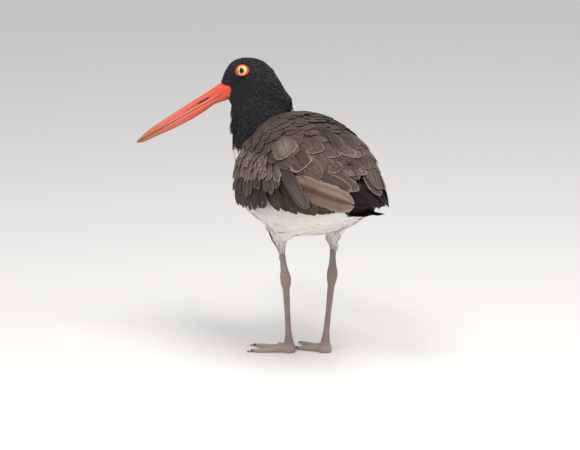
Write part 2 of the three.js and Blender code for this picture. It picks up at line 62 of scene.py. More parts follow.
# Driving sizes, in millimetres and degrees
HEAD_TURN = 62
HEAD_ROLL = 8
HEAD_OFFSET = -57
NECK_CUT = 205
BREAST_START = -40
BREAST_LENGTH = 59
BREAST_HEIGHT = 152
SHOULDER = 0.84
BILL_LENGTH = 93
BILL_ROOT_AT = -8  # the bill starts inside the head, behind the gape
BILL_DROP = 29.5
GAPE = (66.6, 219.1)
# look: how far ahead of straight sideways an eye looks; rise: how much up for each millimetre out
EYE = {"ahead": 55.6, "beside": 8.9, "height": 234.9, "radius": 6.4, "look": 12, "rise": 0.2}
# tall: height of the opening against its width
LID = {"radius": 5.4, "tall": 0.83, "thickness": 0.75}
SIDES = {"left": 1, "right": -1}

# The photograph's view: the bird is seen from behind its left side, a little from above
VIEW_AZIMUTH = 152
VIEW_ELEVATION = 12
VIEW_DISTANCE = 4500
IMAGE_SIZE = (580, 450)
MM_PER_PIXEL = 0.86
ORIGIN_PIXEL = (308, 352)
SENSOR = 36


def linear(code):
    """Linear RGB of an sRGB hex colour."""
    parts = np.array([int(code[i : i + 2], 16) / 255 for i in (1, 3, 5)])
    return np.where(parts <= 0.04045, parts / 12.92, ((parts + 0.055) / 1.055) ** 2.4)


def unit(vectors):
    """Vectors scaled to length one."""
    return vectors / np.maximum(np.linalg.norm(vectors, axis=-1, keepdims=True), 1e-9)


def smooth_step(value, low, high):
    """0 below low, 1 above high, and smooth between."""
    t = np.clip((value - low) / (high - low), 0, 1)
    return t * t * (3 - 2 * t)


def blend(colour, other, share):
    """A colour moved towards another by the share kept at each point."""
    share = np.asarray(share, float)[..., None]
    return colour * (1 - share) + other * share


def window(value, rise, fall):
    """Rises from 0 to 1 over the first range, and falls back to 0 over the second."""
    return smooth_step(value, *rise) * (1 - smooth_step(value, *fall))


def bell(value, middle, wide, power=2):
    """1 in the middle, falling away on both sides."""
    return np.exp(-(((value - middle) / wide) ** power))


def circle(count):
    """Angles in so many even steps round a circle."""
    return np.linspace(0, 2 * math.pi, count, endpoint=False)


def curve(*knots):
    """A smooth curve through (place, value) pairs that stays level past its ends."""
    places = np.array([k[0] for k in knots], float)
    values = np.array([k[1] for k in knots], float)
    before = np.maximum(np.arange(len(knots)) - 1, 0)
    after = np.minimum(np.arange(len(knots)) + 1, len(knots) - 1)
    slope = (values[after] - values[before]) / (places[after] - places[before])

    def at(place):
        s = np.clip(np.asarray(place, float), places[0], places[-1])
        i = np.clip(np.searchsorted(places, s) - 1, 0, len(places) - 2)
        wide = places[i + 1] - places[i]
        t = (s - places[i]) / wide
        return (
            values[i] * (1 + 2 * t) * (1 - t) ** 2
            + values[i + 1] * t * t * (3 - 2 * t)
            + wide * (slope[i] * t * (1 - t) ** 2 - slope[i + 1] * t * t * (1 - t))
        )

    return at


# The body along Y: half width without the wings, the back, the widest height and the belly
body_width = curve((-40, 41.5), (-10, 45), (20, 45), (50, 36), (80, 24), (100, 16), (131, 3))
back_height = curve((-40, 203.5), (-25, 205.5), (0, 202.5), (40, 192), (80, 173.5), (110, 159.5), (131, 151))
girth_height = curve((-40, 149), (0, 148), (60, 151), (131, 149))
belly_height = curve((-40, 104), (-20, 101.5), (10, 103.5), (40, 112), (70, 127), (100, 141.5), (131, 147.5))
wing_depth = curve((-82, 2), (-56, 4), (-20, 7), (60, 7.5), (90, 6.5), (131, 1.5))
FLANK = 0.78


def body_point(y, angle):
    """The outside of the body's left half. Angle 0 is the back's middle, 90 the side, 180 the belly."""
    y, angle = np.broadcast_arrays(np.asarray(y, float), np.asarray(angle, float))
    back = np.maximum(y, BREAST_START)
    ahead = np.clip((BREAST_START - y) / BREAST_LENGTH, 0, 1)
    full_round = np.sqrt(np.maximum(0, 1 - ahead**2))
    a = np.radians(angle)
    girth = girth_height(back)
    middle = BREAST_HEIGHT + (girth - BREAST_HEIGHT) * full_round
    width = (body_width(back) + wing_depth(y)) * full_round
    upper = np.cos(a) > 0
    reach = np.where(upper, back_height(back) - girth, girth - belly_height(back)) * full_round
    full = np.where(upper, SHOULDER, FLANK)
    x = width * np.abs(np.sin(a)) ** full * np.sign(np.sin(a))
    z = middle + reach * np.sign(np.cos(a)) * np.abs(np.cos(a)) ** full
    return np.stack([x, y, z], -1)


def coat_point(y, angle, side, lift=0.0):
    """A point above the outside of a folded wing, lifted along the surface's own normal."""
    y = np.asarray(y, float)
    angle = np.asarray(angle, float)
    at = body_point(y, angle)
    along = body_point(y + 0.5, angle) - body_point(y - 0.5, angle)
    around = body_point(y, angle + 0.5) - body_point(y, angle - 0.5)
    out = unit(np.cross(around, along))
    out = np.where(out[..., :1] < 0, -out, out)
    at = at + out * np.asarray(lift)[..., None]
    at[..., 0] *= side
    return at


# The head's own frame: ahead along the bill's heading, beside to its left, and up
TURN = math.radians(HEAD_TURN)
AHEAD = np.array([math.sin(TURN), -math.cos(TURN), 0])
BESIDE = np.array([math.cos(TURN), math.sin(TURN), 0])
UP = np.array([0.0, 0, 1])


def head_point(ahead, beside, height):
    """A point given in the head's own frame."""
    c, s = math.cos(math.radians(HEAD_ROLL)), math.sin(math.radians(HEAD_ROLL))
    up = np.asarray(height, float) - NECK_CUT
    beside = np.asarray(beside, float)
    ahead = np.asarray(ahead, float)
    rise = NECK_CUT + up * c + beside * s
    across = HEAD_OFFSET + beside * c - up * s
    return ahead[..., None] * AHEAD + across[..., None] * BESIDE + rise[..., None] * UP


def in_head(points):
    """Ahead, beside and height of points in the head's own frame."""
    c, s = math.cos(math.radians(HEAD_ROLL)), math.sin(math.radians(HEAD_ROLL))
    across = points @ BESIDE - HEAD_OFFSET
    rise = points[..., 2] - NECK_CUT
    return points @ AHEAD, across * c + rise * s, NECK_CUT + rise * c - across * s


# The bill: offsets above and below the mouth line, and the half width, along it from the gape
culmen = curve((0, 9.4), (6, 8.9), (20, 7.7), (36, 7.1), (53, 6.2), (70, 5.2), (82, 3.6), (BILL_LENGTH, 0.7))
gonys = curve(
    (0, 7.6), (9, 6.4), (18, 4.6), (28, 5.5), (43, 6.1), (60, 5.3), (75, 3.9), (88, 2.7), (BILL_LENGTH, 0.7)
)
bill_width = curve(
    (BILL_ROOT_AT, 8.2), (0, 7.5), (6, 6.4), (13, 5), (28, 3.7), (50, 2.6), (75, 1.7), (BILL_LENGTH, 0.7)
)
# How far ahead the feathers of the face reach, by height: to the gape, out along the chin and up the culmen
face_edge = curve((200, 72), (208.5, 69), (214.4, 73), (219, 68), (222, 74), (225, 78.5), (240, 84))


def bill_point(along, beside, above):
    """A point given along the mouth line, beside it and above it."""
    c, s = math.cos(math.radians(BILL_DROP)), math.sin(math.radians(BILL_DROP))
    along = np.asarray(along, float)
    above = np.asarray(above, float)
    return head_point(GAPE[0] + along * c + above * s, beside, GAPE[1] - along * s + above * c)


def eye_frame(side):
    """Centre of an eyeball and the way it looks."""
    look = math.radians(EYE["look"])
    centre = head_point(EYE["ahead"], side * EYE["beside"], EYE["height"])
    beside = side * (EYE["beside"] + math.cos(look))
    tip = head_point(EYE["ahead"] + math.sin(look), beside, EYE["height"] + EYE["rise"])
    return centre, unit(tip - centre)


def eye_axes(side):
    """Centre of an eyeball, the way it looks, and the ways ahead and up across its front."""
    centre, out = eye_frame(side)
    forward = unit(AHEAD - (AHEAD @ out) * out)
    upward = np.cross(forward, out)
    return centre, out, forward, upward * np.sign(upward[2])


# The solids are the same bird, moved so that the origin is on the floor below its middle
SOLID_EYE = sum(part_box("left_eye"), Vector()) / 2 * 1000
SHIFT = np.array(SOLID_EYE) - eye_frame(1)[0]
SHIFT[2] = 0


def onto_solids(points):
    """Points of the bird's own frame, in metres on the solids."""
    return (np.asarray(points, float) + SHIFT) / 1000


def from_solids(points):
    """Points on the solids, in millimetres of the bird's own frame."""
    return np.asarray(points, float) * 1000 - SHIFT


# Meshes
def colour_layer(mesh, values, key="tint"):
    """Keeps a linear colour at each point of a mesh."""
    layer = mesh.attributes.new(key, "FLOAT_COLOR", "POINT")
    opaque = np.column_stack([values, np.ones(len(values))])
    layer.data.foreach_set("color", opaque.astype(np.float32).ravel())


def new_piece(name, points, faces, attributes=None, uv=None):
    """An object from points in the bird's frame and faces of one size, with values kept per point."""
    mesh = bpy.data.meshes.new(name)
    faces = np.asarray(faces, np.int32)
    mesh.vertices.add(len(points))
    mesh.vertices.foreach_set("co", onto_solids(points).astype(np.float32).ravel())
    mesh.loops.add(faces.size)
    mesh.loops.foreach_set("vertex_index", faces.ravel())
    mesh.polygons.add(len(faces))
    mesh.polygons.foreach_set("loop_start", np.arange(0, faces.size, faces.shape[1], dtype=np.int32))
    mesh.update(calc_edges=True)
    mesh.validate()
    for key, values in (attributes or {}).items():
        values = np.asarray(values, np.float32)
        if values.ndim == 2:
            colour_layer(mesh, values, key)
        else:
            layer = mesh.attributes.new(key, "FLOAT", "POINT")
            layer.data.foreach_set("value", values)
    if uv is not None:
        layer = mesh.uv_layers.new(name="OFBake")
        layer.data.foreach_set("uv", np.asarray(uv, np.float32)[faces.ravel()].ravel())
    mesh.shade_smooth()
    piece = bpy.data.objects.new(name, mesh)
    bpy.context.scene.collection.objects.link(piece)
    return piece


def finish_piece(piece, material, slot, *nodes):
    """Gives a piece its material and body, and hides the solids it stands for; the slot is not used."""
    if material is not None:
        piece.data.materials.append(material)
    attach(piece, "root")
    if nodes:
        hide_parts(*nodes)
    return piece


def loft_faces(rows, columns, closed=True):
    """Quads between rows of points, each row closed round or open."""
    i, j = np.meshgrid(np.arange(rows - 1), np.arange(columns if closed else columns - 1), indexing="ij")
    a = i * columns + j
    b = i * columns + (j + 1) % columns
    return np.stack([a, b, b + columns, a + columns], -1).reshape(-1, 4)


def closed_loft(rings):
    """Points and quads of a skin over closed rings, with each end drawn in to a point."""
    rings = np.asarray(rings, float)
    ends = [np.repeat(r.mean(0, keepdims=True), rings.shape[1], 0) for r in (rings[0], rings[-1])]
    rows = np.concatenate([ends[0][None], rings, ends[1][None]])
    return rows.reshape(-1, 3), loft_faces(len(rows), rings.shape[1])


def weld(piece, distance=1e-6):
    """Joins points that lie on each other and turns the faces outwards."""
    work = bmesh.new()
    work.from_mesh(piece.data)
    bmesh.ops.remove_doubles(work, verts=work.verts, dist=distance)
    bmesh.ops.recalc_face_normals(work, faces=work.faces)
    work.to_mesh(piece.data)
    work.free()
    return piece


def welded_sheet(name, rows, colours):
    """A closed piece from rows of points with their colours, joined where they meet."""
    tint = colours.reshape(-1, 3)
    return weld(new_piece(name, rows.reshape(-1, 3), loft_faces(*rows.shape[:2]), {"tint": tint}))


def copies(*names):
    """One object with copies of several solids' meshes."""
    work = bmesh.new()
    for name in names:
        work.from_mesh(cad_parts[name].data)
    mesh = bpy.data.meshes.new("_".join(names)[:40])
    work.to_mesh(mesh)
    work.free()
    piece = bpy.data.objects.new(mesh.name, mesh)
    bpy.context.scene.collection.objects.link(piece)
    return piece


def remeshed(pieces, name, voxel, smooth_steps, depth):
    """One smooth skin round several closed pieces, drawn in by depth; both lengths in metres."""
    work = bmesh.new()
    for piece in pieces:
        work.from_mesh(piece.data)
        bpy.data.objects.remove(piece)
    mesh = bpy.data.meshes.new(name)
    work.to_mesh(mesh)
    work.free()
    skin = bpy.data.objects.new(name, mesh)
    bpy.context.scene.collection.objects.link(skin)
    remesh = skin.modifiers.new("Remesh", "REMESH")
    remesh.mode = "VOXEL"
    remesh.voxel_size = voxel
    smooth = skin.modifiers.new("Smooth", "SMOOTH")
    smooth.factor = 0.5
    smooth.iterations = smooth_steps
    draw_in = skin.modifiers.new("Draw in", "DISPLACE")
    draw_in.strength = -depth
    draw_in.mid_level = 0
    settle = skin.modifiers.new("Settle", "SMOOTH")
    settle.factor = 0.5
    settle.iterations = 2
    evaluated = skin.evaluated_get(bpy.context.evaluated_depsgraph_get())
    skin.data = bpy.data.meshes.new_from_object(evaluated)
    skin.data.name = name
    skin.modifiers.clear()
    skin.data.shade_smooth()
    return skin


def mesh_points(piece):
    """A mesh's points in the bird's frame."""
    found = np.empty(len(piece.data.vertices) * 3, np.float32)
    piece.data.vertices.foreach_get("co", found)
    return from_solids(found.reshape(-1, 3))


# Markings: one rule for the skin and the coat
BIB_HEIGHT = 168  # lower edge of the black bib at the middle of the breast
NAPE_HEIGHTS = (205, 209)  # above these the black reaches back over the wings' front edge
RUMP_START = 80  # behind this the rump is black above the height of the tail's root
TAIL_ROOT_HEIGHT = 136
SHANK_GREY = (0.85, 92, 107)  # most of the grey near the bare leg, and the heights it fades between
wing_front = curve((0, -22), (20, -25), (43, -29), (62, -38), (76, -46), (87, -58), (96, -66))


def coat_angle(points):
    """How far round the body points lie, in degrees from the back's middle."""
    back = np.maximum(points[..., 1], BREAST_START)
    girth = girth_height(back)
    above = points[..., 2] - girth
    tall = np.where(above > 0, back_height(back) - girth, girth - belly_height(back))
    wide = body_width(back) + wing_depth(points[..., 1])
    return np.degrees(np.arctan2(np.abs(points[..., 0]) / wide, above / tall))


def marking(points):
    """Share of black and of brown at points; the rest is white."""
    x, y, z = points[..., 0], points[..., 1], points[..., 2]
    angle = coat_angle(points)
    # the bib's edge is wavy and rises a little towards the shoulders
    bib = BIB_HEIGHT + 5 * smooth_step(np.abs(x), 10, 40) + 1.6 * np.sin(x * 0.45 + y * 0.3)
    behind = smooth_step(y - wing_front(angle), -2, 2)
    hood = smooth_step(z, bib - 1.5, bib + 1.5)
    black = hood * np.maximum(1 - behind, smooth_step(z, *NAPE_HEIGHTS))
    brown = (1 - black) * np.maximum(behind * (1 - smooth_step(angle, 96, 104)), hood)
    rump = smooth_step(y, RUMP_START, RUMP_START + 6) * smooth_step(z, TAIL_ROOT_HEIGHT, TAIL_ROOT_HEIGHT + 3)
    return np.maximum(black, rump * (1 - brown)), brown


def coat_colour(points, looks):
    """Linear colour of the coat at points: the shanks' feathers grow grey towards the bare leg."""
    black, brown = (share[..., None] for share in marking(points))
    most, low, high = SHANK_GREY
    grey = most * (1 - smooth_step(points[..., 2], low, high))
    white = blend(np.array(looks.white), linear("#8a8783"), grey)
    return black * np.array(looks.black) + brown * np.array(looks.brown) + (1 - black - brown) * white


# Materials
MM = 1000  # turns a metre of a pattern that repeats every millimetre


def add_node(tree, kind, settings=None, inputs=None, links=()):
    """One node with its settings, its inputs' values and the links into it."""
    node = tree.nodes.new(kind)
    for key, value in (settings or {}).items():
        setattr(node, key, value)
    for key, value in (inputs or {}).items():
        node.inputs[key].default_value = value
    for key, source in links:
        tree.links.new(source, node.inputs[key])
    return node


def new_material(name, **sockets):
    """A material with its shader and output; returns it with its node tree and shader."""
    material = bpy.data.materials.new(name)
    material.use_nodes = True
    tree = material.node_tree
    tree.nodes.clear()
    shader = add_node(tree, "ShaderNodeBsdfPrincipled", inputs=sockets)
    add_node(tree, "ShaderNodeOutputMaterial", links=[("Surface", shader.outputs["BSDF"])])
    return material, tree, shader


def grown(name, grain, contrast, bump_depth, barbs=0.0, **sockets):
    """A grown surface: its own tint, clouded at a grain in millimetres, with barbs so far apart, if any."""
    if name in bpy.data.materials:
        return bpy.data.materials[name]
    material, tree, shader = new_material(name, **sockets)
    tint = add_node(tree, "ShaderNodeAttribute", {"attribute_name": "tint"})
    place = add_node(tree, "ShaderNodeNewGeometry")
    clouds = add_node(
        tree, "ShaderNodeTexNoise", inputs={"Scale": MM / grain, "Detail": 4, "Roughness": 0.65},
        links=[("Vector", place.outputs["Position"])],
    )
    shade = add_node(
        tree, "ShaderNodeMath", {"operation": "MULTIPLY_ADD"}, {1: contrast, 2: 1 - contrast / 2},
        [(0, clouds.outputs["Fac"])],
    )
    height = clouds
    if barbs:
        barb = add_node(tree, "ShaderNodeAttribute", {"attribute_name": "barb"})
        turns = add_node(
            tree, "ShaderNodeMath", {"operation": "MULTIPLY"}, {1: 2 * math.pi / barbs},
            [(0, barb.outputs["Fac"])],
        )
        height = add_node(tree, "ShaderNodeMath", {"operation": "SINE"}, links=[(0, turns.outputs[0])])
        shade = add_node(
            tree, "ShaderNodeMath", {"operation": "MULTIPLY_ADD"}, {1: contrast * 0.17},
            [(0, height.outputs[0]), (2, shade.outputs[0])],
        )
    colour = add_node(
        tree, "ShaderNodeVectorMath", {"operation": "SCALE"},
        links=[(0, tint.outputs["Color"]), ("Scale", shade.outputs[0])],
    )
    bump = add_node(
        tree, "ShaderNodeBump", inputs={"Strength": 0.35, "Distance": bump_depth / MM},
        links=[("Height", height.outputs[0])],
    )
    tree.links.new(colour.outputs[0], shader.inputs["Base Color"])
    tree.links.new(bump.outputs["Normal"], shader.inputs["Normal"])
    return material


def barbed_vane():
    """Keratin vanes of barbs hooked together: dull, finely ribbed aslant, clouded by wear.

    The ribs are drawn 0.9 mm apart, two to three times the real spacing, so that they show.
    """
    return grown(
        "barbed_keratin_vane", 5, 0.5, 0.12, barbs=0.9,
        **{"Roughness": 0.72, "IOR": 1.5, "Specular IOR Level": 0.12},
        **{"Sheen Weight": 0.02, "Sheen Roughness": 0.5},
    )


def loose_down():
    """Small body feathers of loose barbs over down: soft, with no gloss, slightly uneven in depth."""
    return grown(
        "loose_barbed_down", 4, 0.16, 0.05,
        **{"Roughness": 0.7, "IOR": 1.5, "Specular IOR Level": 0.3},
        **{"Sheen Weight": 0.08, "Sheen Roughness": 0.4},
    )


def polished_horn():
    """The bill's horn, worn smooth by use: a soft gloss, with streaks of grain about 2 mm long."""
    return grown(
        "worn_smooth_bill_horn", 2.2, 0.22, 0.1,
        **{"Roughness": 0.38, "IOR": 1.54, "Coat Weight": 0.2, "Coat Roughness": 0.25},
    )


def wet_eyeball():
    """A living eye under its film of tears: sharp highlights over a finely flecked iris."""
    return grown(
        "tear_wet_eyeball", 0.5, 0.25, 0.01,
        **{"Roughness": 0.3, "IOR": 1.38, "Specular IOR Level": 0.0},
        **{"Coat Weight": 0.9, "Coat Roughness": 0.03},
    )


def bare_ring():
    """Bare warty skin round the eye: fleshy, moist, with a grain of half a millimetre."""
    return grown(
        "bare_moist_ring_skin", 0.6, 0.35, 0.12,
        **{"Roughness": 0.45, "IOR": 1.42, "Subsurface Weight": 0.1, "Subsurface Scale": 0.001},
    )


def scaled_skin():
    """Leg skin of dry horny scales: dull and pinkish, with painted shade in the grooves between the plates.
    """
    return grown(
        "dry_scaled_leg_skin", 1.1, 0.35, 0.12,
        **{"Roughness": 0.6, "IOR": 1.5, "Specular IOR Level": 0.35},
    )


def worn_claw():
    """Claws of dark horn, scratched by stones: a low gloss with fine scratches."""
    return grown("stone_worn_claw_horn", 0.8, 0.5, 0.08, **{"Roughness": 0.42, "IOR": 1.54})


def studio_paint():
    """Matt emulsion rolled on a studio floor: pale, without gloss."""
    paint = {"Base Color": (*linear("#dedad4"), 1), "Roughness": 0.9}
    return new_material("matt_studio_emulsion", **paint)[0]


# The skin
FLESH = ["torso", "neck", "head", "left_thigh", "right_thigh"]
SOCKET = ((11.5, -3), (10, 0.6), (8.6, 3.9))  # half width of the rim round an eye, and how far out, in rings
WING_FLOOR = 149.5
# The tail's root in rings: place along the body, half width, height of the middle, half thickness
TAIL_RINGS = ((78, 17, 141.5, 8), (93, 15, 140.2, 6), (102, 11, 140.3, 2.5), (107, 8, 140.8, 0.9))
CORE_START = -66
CORE_END = 92
CORE_DEPTH = 3.0  # the flesh lies so far inside the wing's outer feathers, and more towards the wing's end
# The folded wing's lower and upper edges, in degrees round the body
wing_edge = curve(
    (CORE_START, 104), (-54, 112), (-44, 112), (-12, 100), (24, 93), (44, 97), (70, 106), (CORE_END, 108)
)
wing_top = curve(
    (CORE_START, 96), (-58, 87), (-46, 76), (-38, 62), (-29, 43), (-25, 20), (-18, 5), (-8, 2.5), (10, 2),
    (CORE_END, 2),
)


def wing_core(side):
    """The flesh and under-feathers of a folded wing, closed along the body's middle plane."""
    rings = []
    for y in np.linspace(CORE_START, CORE_END, 40):
        depth = CORE_DEPTH + max(0, (y - 75) / 17 * 3.5)
        arc = coat_point(np.full(24, y), np.linspace(wing_top(y), wing_edge(y), 24), 1, np.full(24, -depth))
        arc[:, 0] = np.maximum(arc[:, 0], -1)
        ring = np.concatenate([arc, [[-1, y, min(WING_FLOOR, arc[0, 2] - 1)]]])
        ring[:, 0] *= side
        rings.append(ring)
    points, faces = closed_loft(rings)
    return weld(new_piece("core", points, faces))


def tail_core():
    """The tail's root, flat under the wing tips."""
    a = circle(20)
    rings = []
    for y, wide, z, high in TAIL_RINGS:
        rings.append(np.stack([wide * np.cos(a), np.full(len(a), y), z + high * np.sin(a)], -1))
    points, faces = closed_loft(rings)
    return weld(new_piece("core", points, faces))


def eye_socket(side):
    """The raised rim of flesh that an eye sits in: closed rings round the way it looks."""
    centre, out = eye_frame(side)
    over = unit(UP - (UP @ out) * out)
    beside = np.cross(out, over)
    a = circle(32)[:, None]
    rings = [centre + out * high + wide * (np.cos(a) * beside + np.sin(a) * over) for wide, high in SOCKET]
    points, faces = closed_loft(rings)
    return weld(new_piece("socket", points, faces))


def build_skin(looks):
    """One skin over torso, neck, head, thighs, folded wings and the tail's root."""
    parts = [copies(*FLESH), wing_core(1), wing_core(-1), tail_core(), eye_socket(1), eye_socket(-1)]
    skin = remeshed(parts, "skin", looks.skin_grain, 8, looks.coat_depth)
    # painted shade: the skin under the feathers is drawn a little darker than the feathers themselves
    colour_layer(skin.data, coat_colour(mesh_points(skin), looks) * 0.95)
    return finish_piece(skin, loose_down(), "white_feathers", *FLESH)


# Small body feathers
BILL_ROOT = head_point(70, 0, 222)
THIGH_HEIGHTS = (96, 104)  # between these the coat turns from the belly's to the thighs'
BREAST_FLOOR = 140  # lowest of the breast's feathers
NAPE_END = -15  # the neck's feathers reach no further back above the shoulders
CROWN_BASE = 217
FACE_START = (50, 208)  # ahead of and above these is the face


def lie(points):
    """The way the coat lies: back from the bill, down the neck, back along the body and down the thigh."""
    from_bill = unit(points - BILL_ROOT) + [0, 0, -0.55]
    down = np.array([0, 0.3, -1.0])
    aft = np.array([0, 1, -0.32])
    head = smooth_step(points[:, 2], 203, 222)[:, None]
    trunk = (1 - smooth_step(points[:, 2], 165, 196))[:, None]
    back = smooth_step(points[:, 1], -45, -25)[:, None]
    trunk = np.maximum(trunk, back * (1 - head))
    field = head * from_bill + (1 - head) * (trunk * aft + (1 - trunk) * down)
    return blend(field, np.array([0, 0.1, -1.0]), 1 - smooth_step(points[:, 2], *THIGH_HEIGHTS))


# Each kind of small feather: length, half width, spacing, how far its tip stands out and how deep its root
# lies, all in millimetres, how far it rolls, and how much the depth of colour differs from one to the next
TUFTS = {
    "face": (3.4, 0.55, 1.05, 0.45, 0.5, 0.2, 0.7),
    "crown": (5.2, 0.75, 1.4, 0.6, 0.5, 0.2, 0.8),
    "neck": (7.0, 0.8, 1.45, 0.75, 0.5, 0.2, 0.6),
    "breast": (13.0, 3.6, 3.0, 0.3, 0.6, 0.0, 0.02),
    "belly": (17.0, 4.6, 3.8, 0.3, 0.6, 0.0, 0.02),
    "thigh": (9.0, 1.3, 1.5, 0.3, 0.6, 0.05, 0.04),
}


def tuft_kind(points):
    """Which kind of small feather grows at points."""
    ahead, _, height = in_head(points)
    kind = np.full(len(points), "belly", dtype="U8")
    y, z = points[:, 1], points[:, 2]
    kind[(z > BREAST_FLOOR) & (y < -30)] = "breast"
    kind[marking(points)[0] > 0.4] = "neck"
    kind[(z > NECK_CUT) & (y < NAPE_END)] = "neck"
    kind[height > CROWN_BASE] = "crown"
    kind[(ahead > FACE_START[0]) & (height > FACE_START[1])] = "face"
    kind[z < THIGH_HEIGHTS[1]] = "thigh"
    return kind


def ruffle(roots):
    """How much further than usual feathers stand out: at the nape's foot, on the chin and down the throat."""
    ahead, _, height = in_head(roots)
    nape = window(height, (197, 203), (211, 217)) * (1 - smooth_step(ahead, 19, 24))
    chin = window(height, (199, 202), (206, 210)) * smooth_step(ahead, 60, 64)
    throat = window(height, (189, 192), (197, 200)) * smooth_step(ahead, 60, 63)
    return 1 + 2.6 * nape + 2.2 * chin + 3.4 * throat


TRIED = 3.2  # places tried on each square millimetre of skin, of which those far enough apart are kept


def scatter(skin, random):
    """Roots over the skin for each kind: points, normals and the tree of the skin's faces."""
    skin.data.calc_loop_triangles()
    count = len(skin.data.loop_triangles)
    corners = np.empty(count * 3, np.int32)
    skin.data.loop_triangles.foreach_get("vertices", corners)
    points = mesh_points(skin)
    triangles = points[corners.reshape(-1, 3)]
    cross = np.cross(triangles[:, 1] - triangles[:, 0], triangles[:, 2] - triangles[:, 0])
    area = np.linalg.norm(cross, axis=1) / 2
    picks = random.choice(count, int(area.sum() * TRIED), p=area / area.sum())
    u, v = random.random(len(picks)), random.random(len(picks))
    u, v = np.where(u + v > 1, 1 - u, u), np.where(u + v > 1, 1 - v, v)
    a, b, c = triangles[picks].transpose(1, 0, 2)
    roots = a + u[:, None] * (b - a) + v[:, None] * (c - a)
    normals = unit(cross[picks])
    kinds = tuft_kind(roots)
    kept = []
    for kind, (_, _, spacing, *_) in TUFTS.items():
        here = np.flatnonzero(kinds == kind)
        cells = np.floor(roots[here] / spacing).astype(np.int64)
        _, first = np.unique(cells, axis=0, return_index=True)
        kept.append(here[first])
    kept = np.concatenate(kept)
    tree = BVHTree.FromPolygons([Vector(p) for p in points], [list(t) for t in corners.reshape(-1, 3)])
    return roots[kept], normals[kept], kinds[kept], tree


def onto_skin(tree, points):
    """The nearest places on the skin and the normals there."""
    found = [tree.find_nearest(Vector(p)) for p in points]
    return np.array([f[0] for f in found]), np.array([f[1] for f in found])


def unwrap(points):
    """A flat map of the skin's own shape: the trunk by angle and length, the head and neck beside it."""
    x, y, z = points[:, 0], points[:, 1], points[:, 2]
    trunk = np.stack([0.25 + np.sign(x) * coat_angle(points) / 180 * 0.24, 0.02 + 0.96 * (y + 100) / 232], -1)
    ahead, beside, height = in_head(points)
    turn = np.arctan2(beside, ahead - 42) / (2 * math.pi)
    head = np.stack([0.75 + 0.48 * turn, 0.02 + 0.96 * (height - 170) / 80], -1)
    return np.where(((z > 178) & (y < NAPE_END))[:, None], head, trunk)


# A small feather's stations: share of the length, share of the half width
TUFT_STATIONS = ((0.0, 0.55), (0.4, 1.0), (0.8, 0.62))
TUFT_POINTS = 13  # four round each station, and the tip
THIGH_TOP = 110  # the wings hide small feathers only above this height
HEM = 94  # below this height feathers hang over the bare leg
STEEP = -0.92  # and only those that point down at least so steeply
SKIN_END = 1.2  # further from the skin than this a tip hangs free
PATCH = 0.003  # side of a small feather's patch on the map
BLADE_DEPTH = 0.08  # most that a small feather's middle stands over its edges
CREASE = math.radians(50)  # a feather's face and its edge meet at more than this


def tufts(name, roots, normals, directions, lengths, halves, stand, sunk, roll, tree, random, tints):
    """Small feathers as closed lens-shaped blades that follow the skin, or hang down past its end."""
    count = len(roots)
    reach = directions * lengths[:, None]
    middle, middle_normal = onto_skin(tree, roots + reach * 0.5)
    free = roots + reach
    tip, tip_normal = onto_skin(tree, free)
    past = np.linalg.norm(free - tip, axis=1, keepdims=True) > SKIN_END
    hanging = past & (free[:, 2:] < HEM) & (directions[:, 2:] < STEEP)
    tip = np.where(hanging, free - normals, tip)
    lines = [roots - normals * sunk, middle + middle_normal * (0.5 * (stand - sunk))[:, None],
             tip + tip_normal * stand[:, None]]

    def at(share):
        a, b, c = lines
        return a * (1 - share) * (1 - 2 * share) + 4 * b * share * (1 - share) + c * share * (2 * share - 1)

    across = unit(np.cross(unit(normals + middle_normal + tip_normal), directions))
    out = unit(np.cross(directions, across))
    across = unit(across + out * random.normal(0, roll, count)[:, None])
    rows = []
    for share, wide in TUFT_STATIONS:
        p = at(share)
        w = (halves * wide)[:, None]
        thick = np.minimum(w * 0.25, BLADE_DEPTH)
        left, right = p - across * w - out * thick, p + across * w - out * thick
        rows.append(np.stack([left, p + out * thick, right, p - out * thick * 1.2], 1))
    points = np.concatenate([*rows, at(1.0)[:, None]], 1)
    block = [[i * 4 + j, i * 4 + (j + 1) % 4, (i + 1) * 4 + (j + 1) % 4] for i in range(2) for j in range(4)]
    block += [[i * 4 + j, (i + 1) * 4 + (j + 1) % 4, (i + 1) * 4 + j] for i in range(2) for j in range(4)]
    block += [[8 + j, 8 + (j + 1) % 4, 12] for j in range(4)] + [[0, 2, 1], [0, 3, 2]]
    faces = (np.array(block)[None] + np.arange(count)[:, None, None] * TUFT_POINTS).reshape(-1, 3)
    shares = np.repeat([s for s, _ in TUFT_STATIONS], 4).tolist() + [1.0]
    sideways = [-1, 0, 1, 0] * 3 + [0]
    patch = np.stack([np.array(sideways) * 0.5, np.array(shares) - 0.5], -1) * PATCH
    uv = (unwrap(roots)[:, None] + patch[None]).reshape(-1, 2)
    tint = np.repeat(tints, TUFT_POINTS, 0)
    return new_piece(name, points.reshape(-1, 3), faces[:, ::-1], {"tint": tint}, uv)


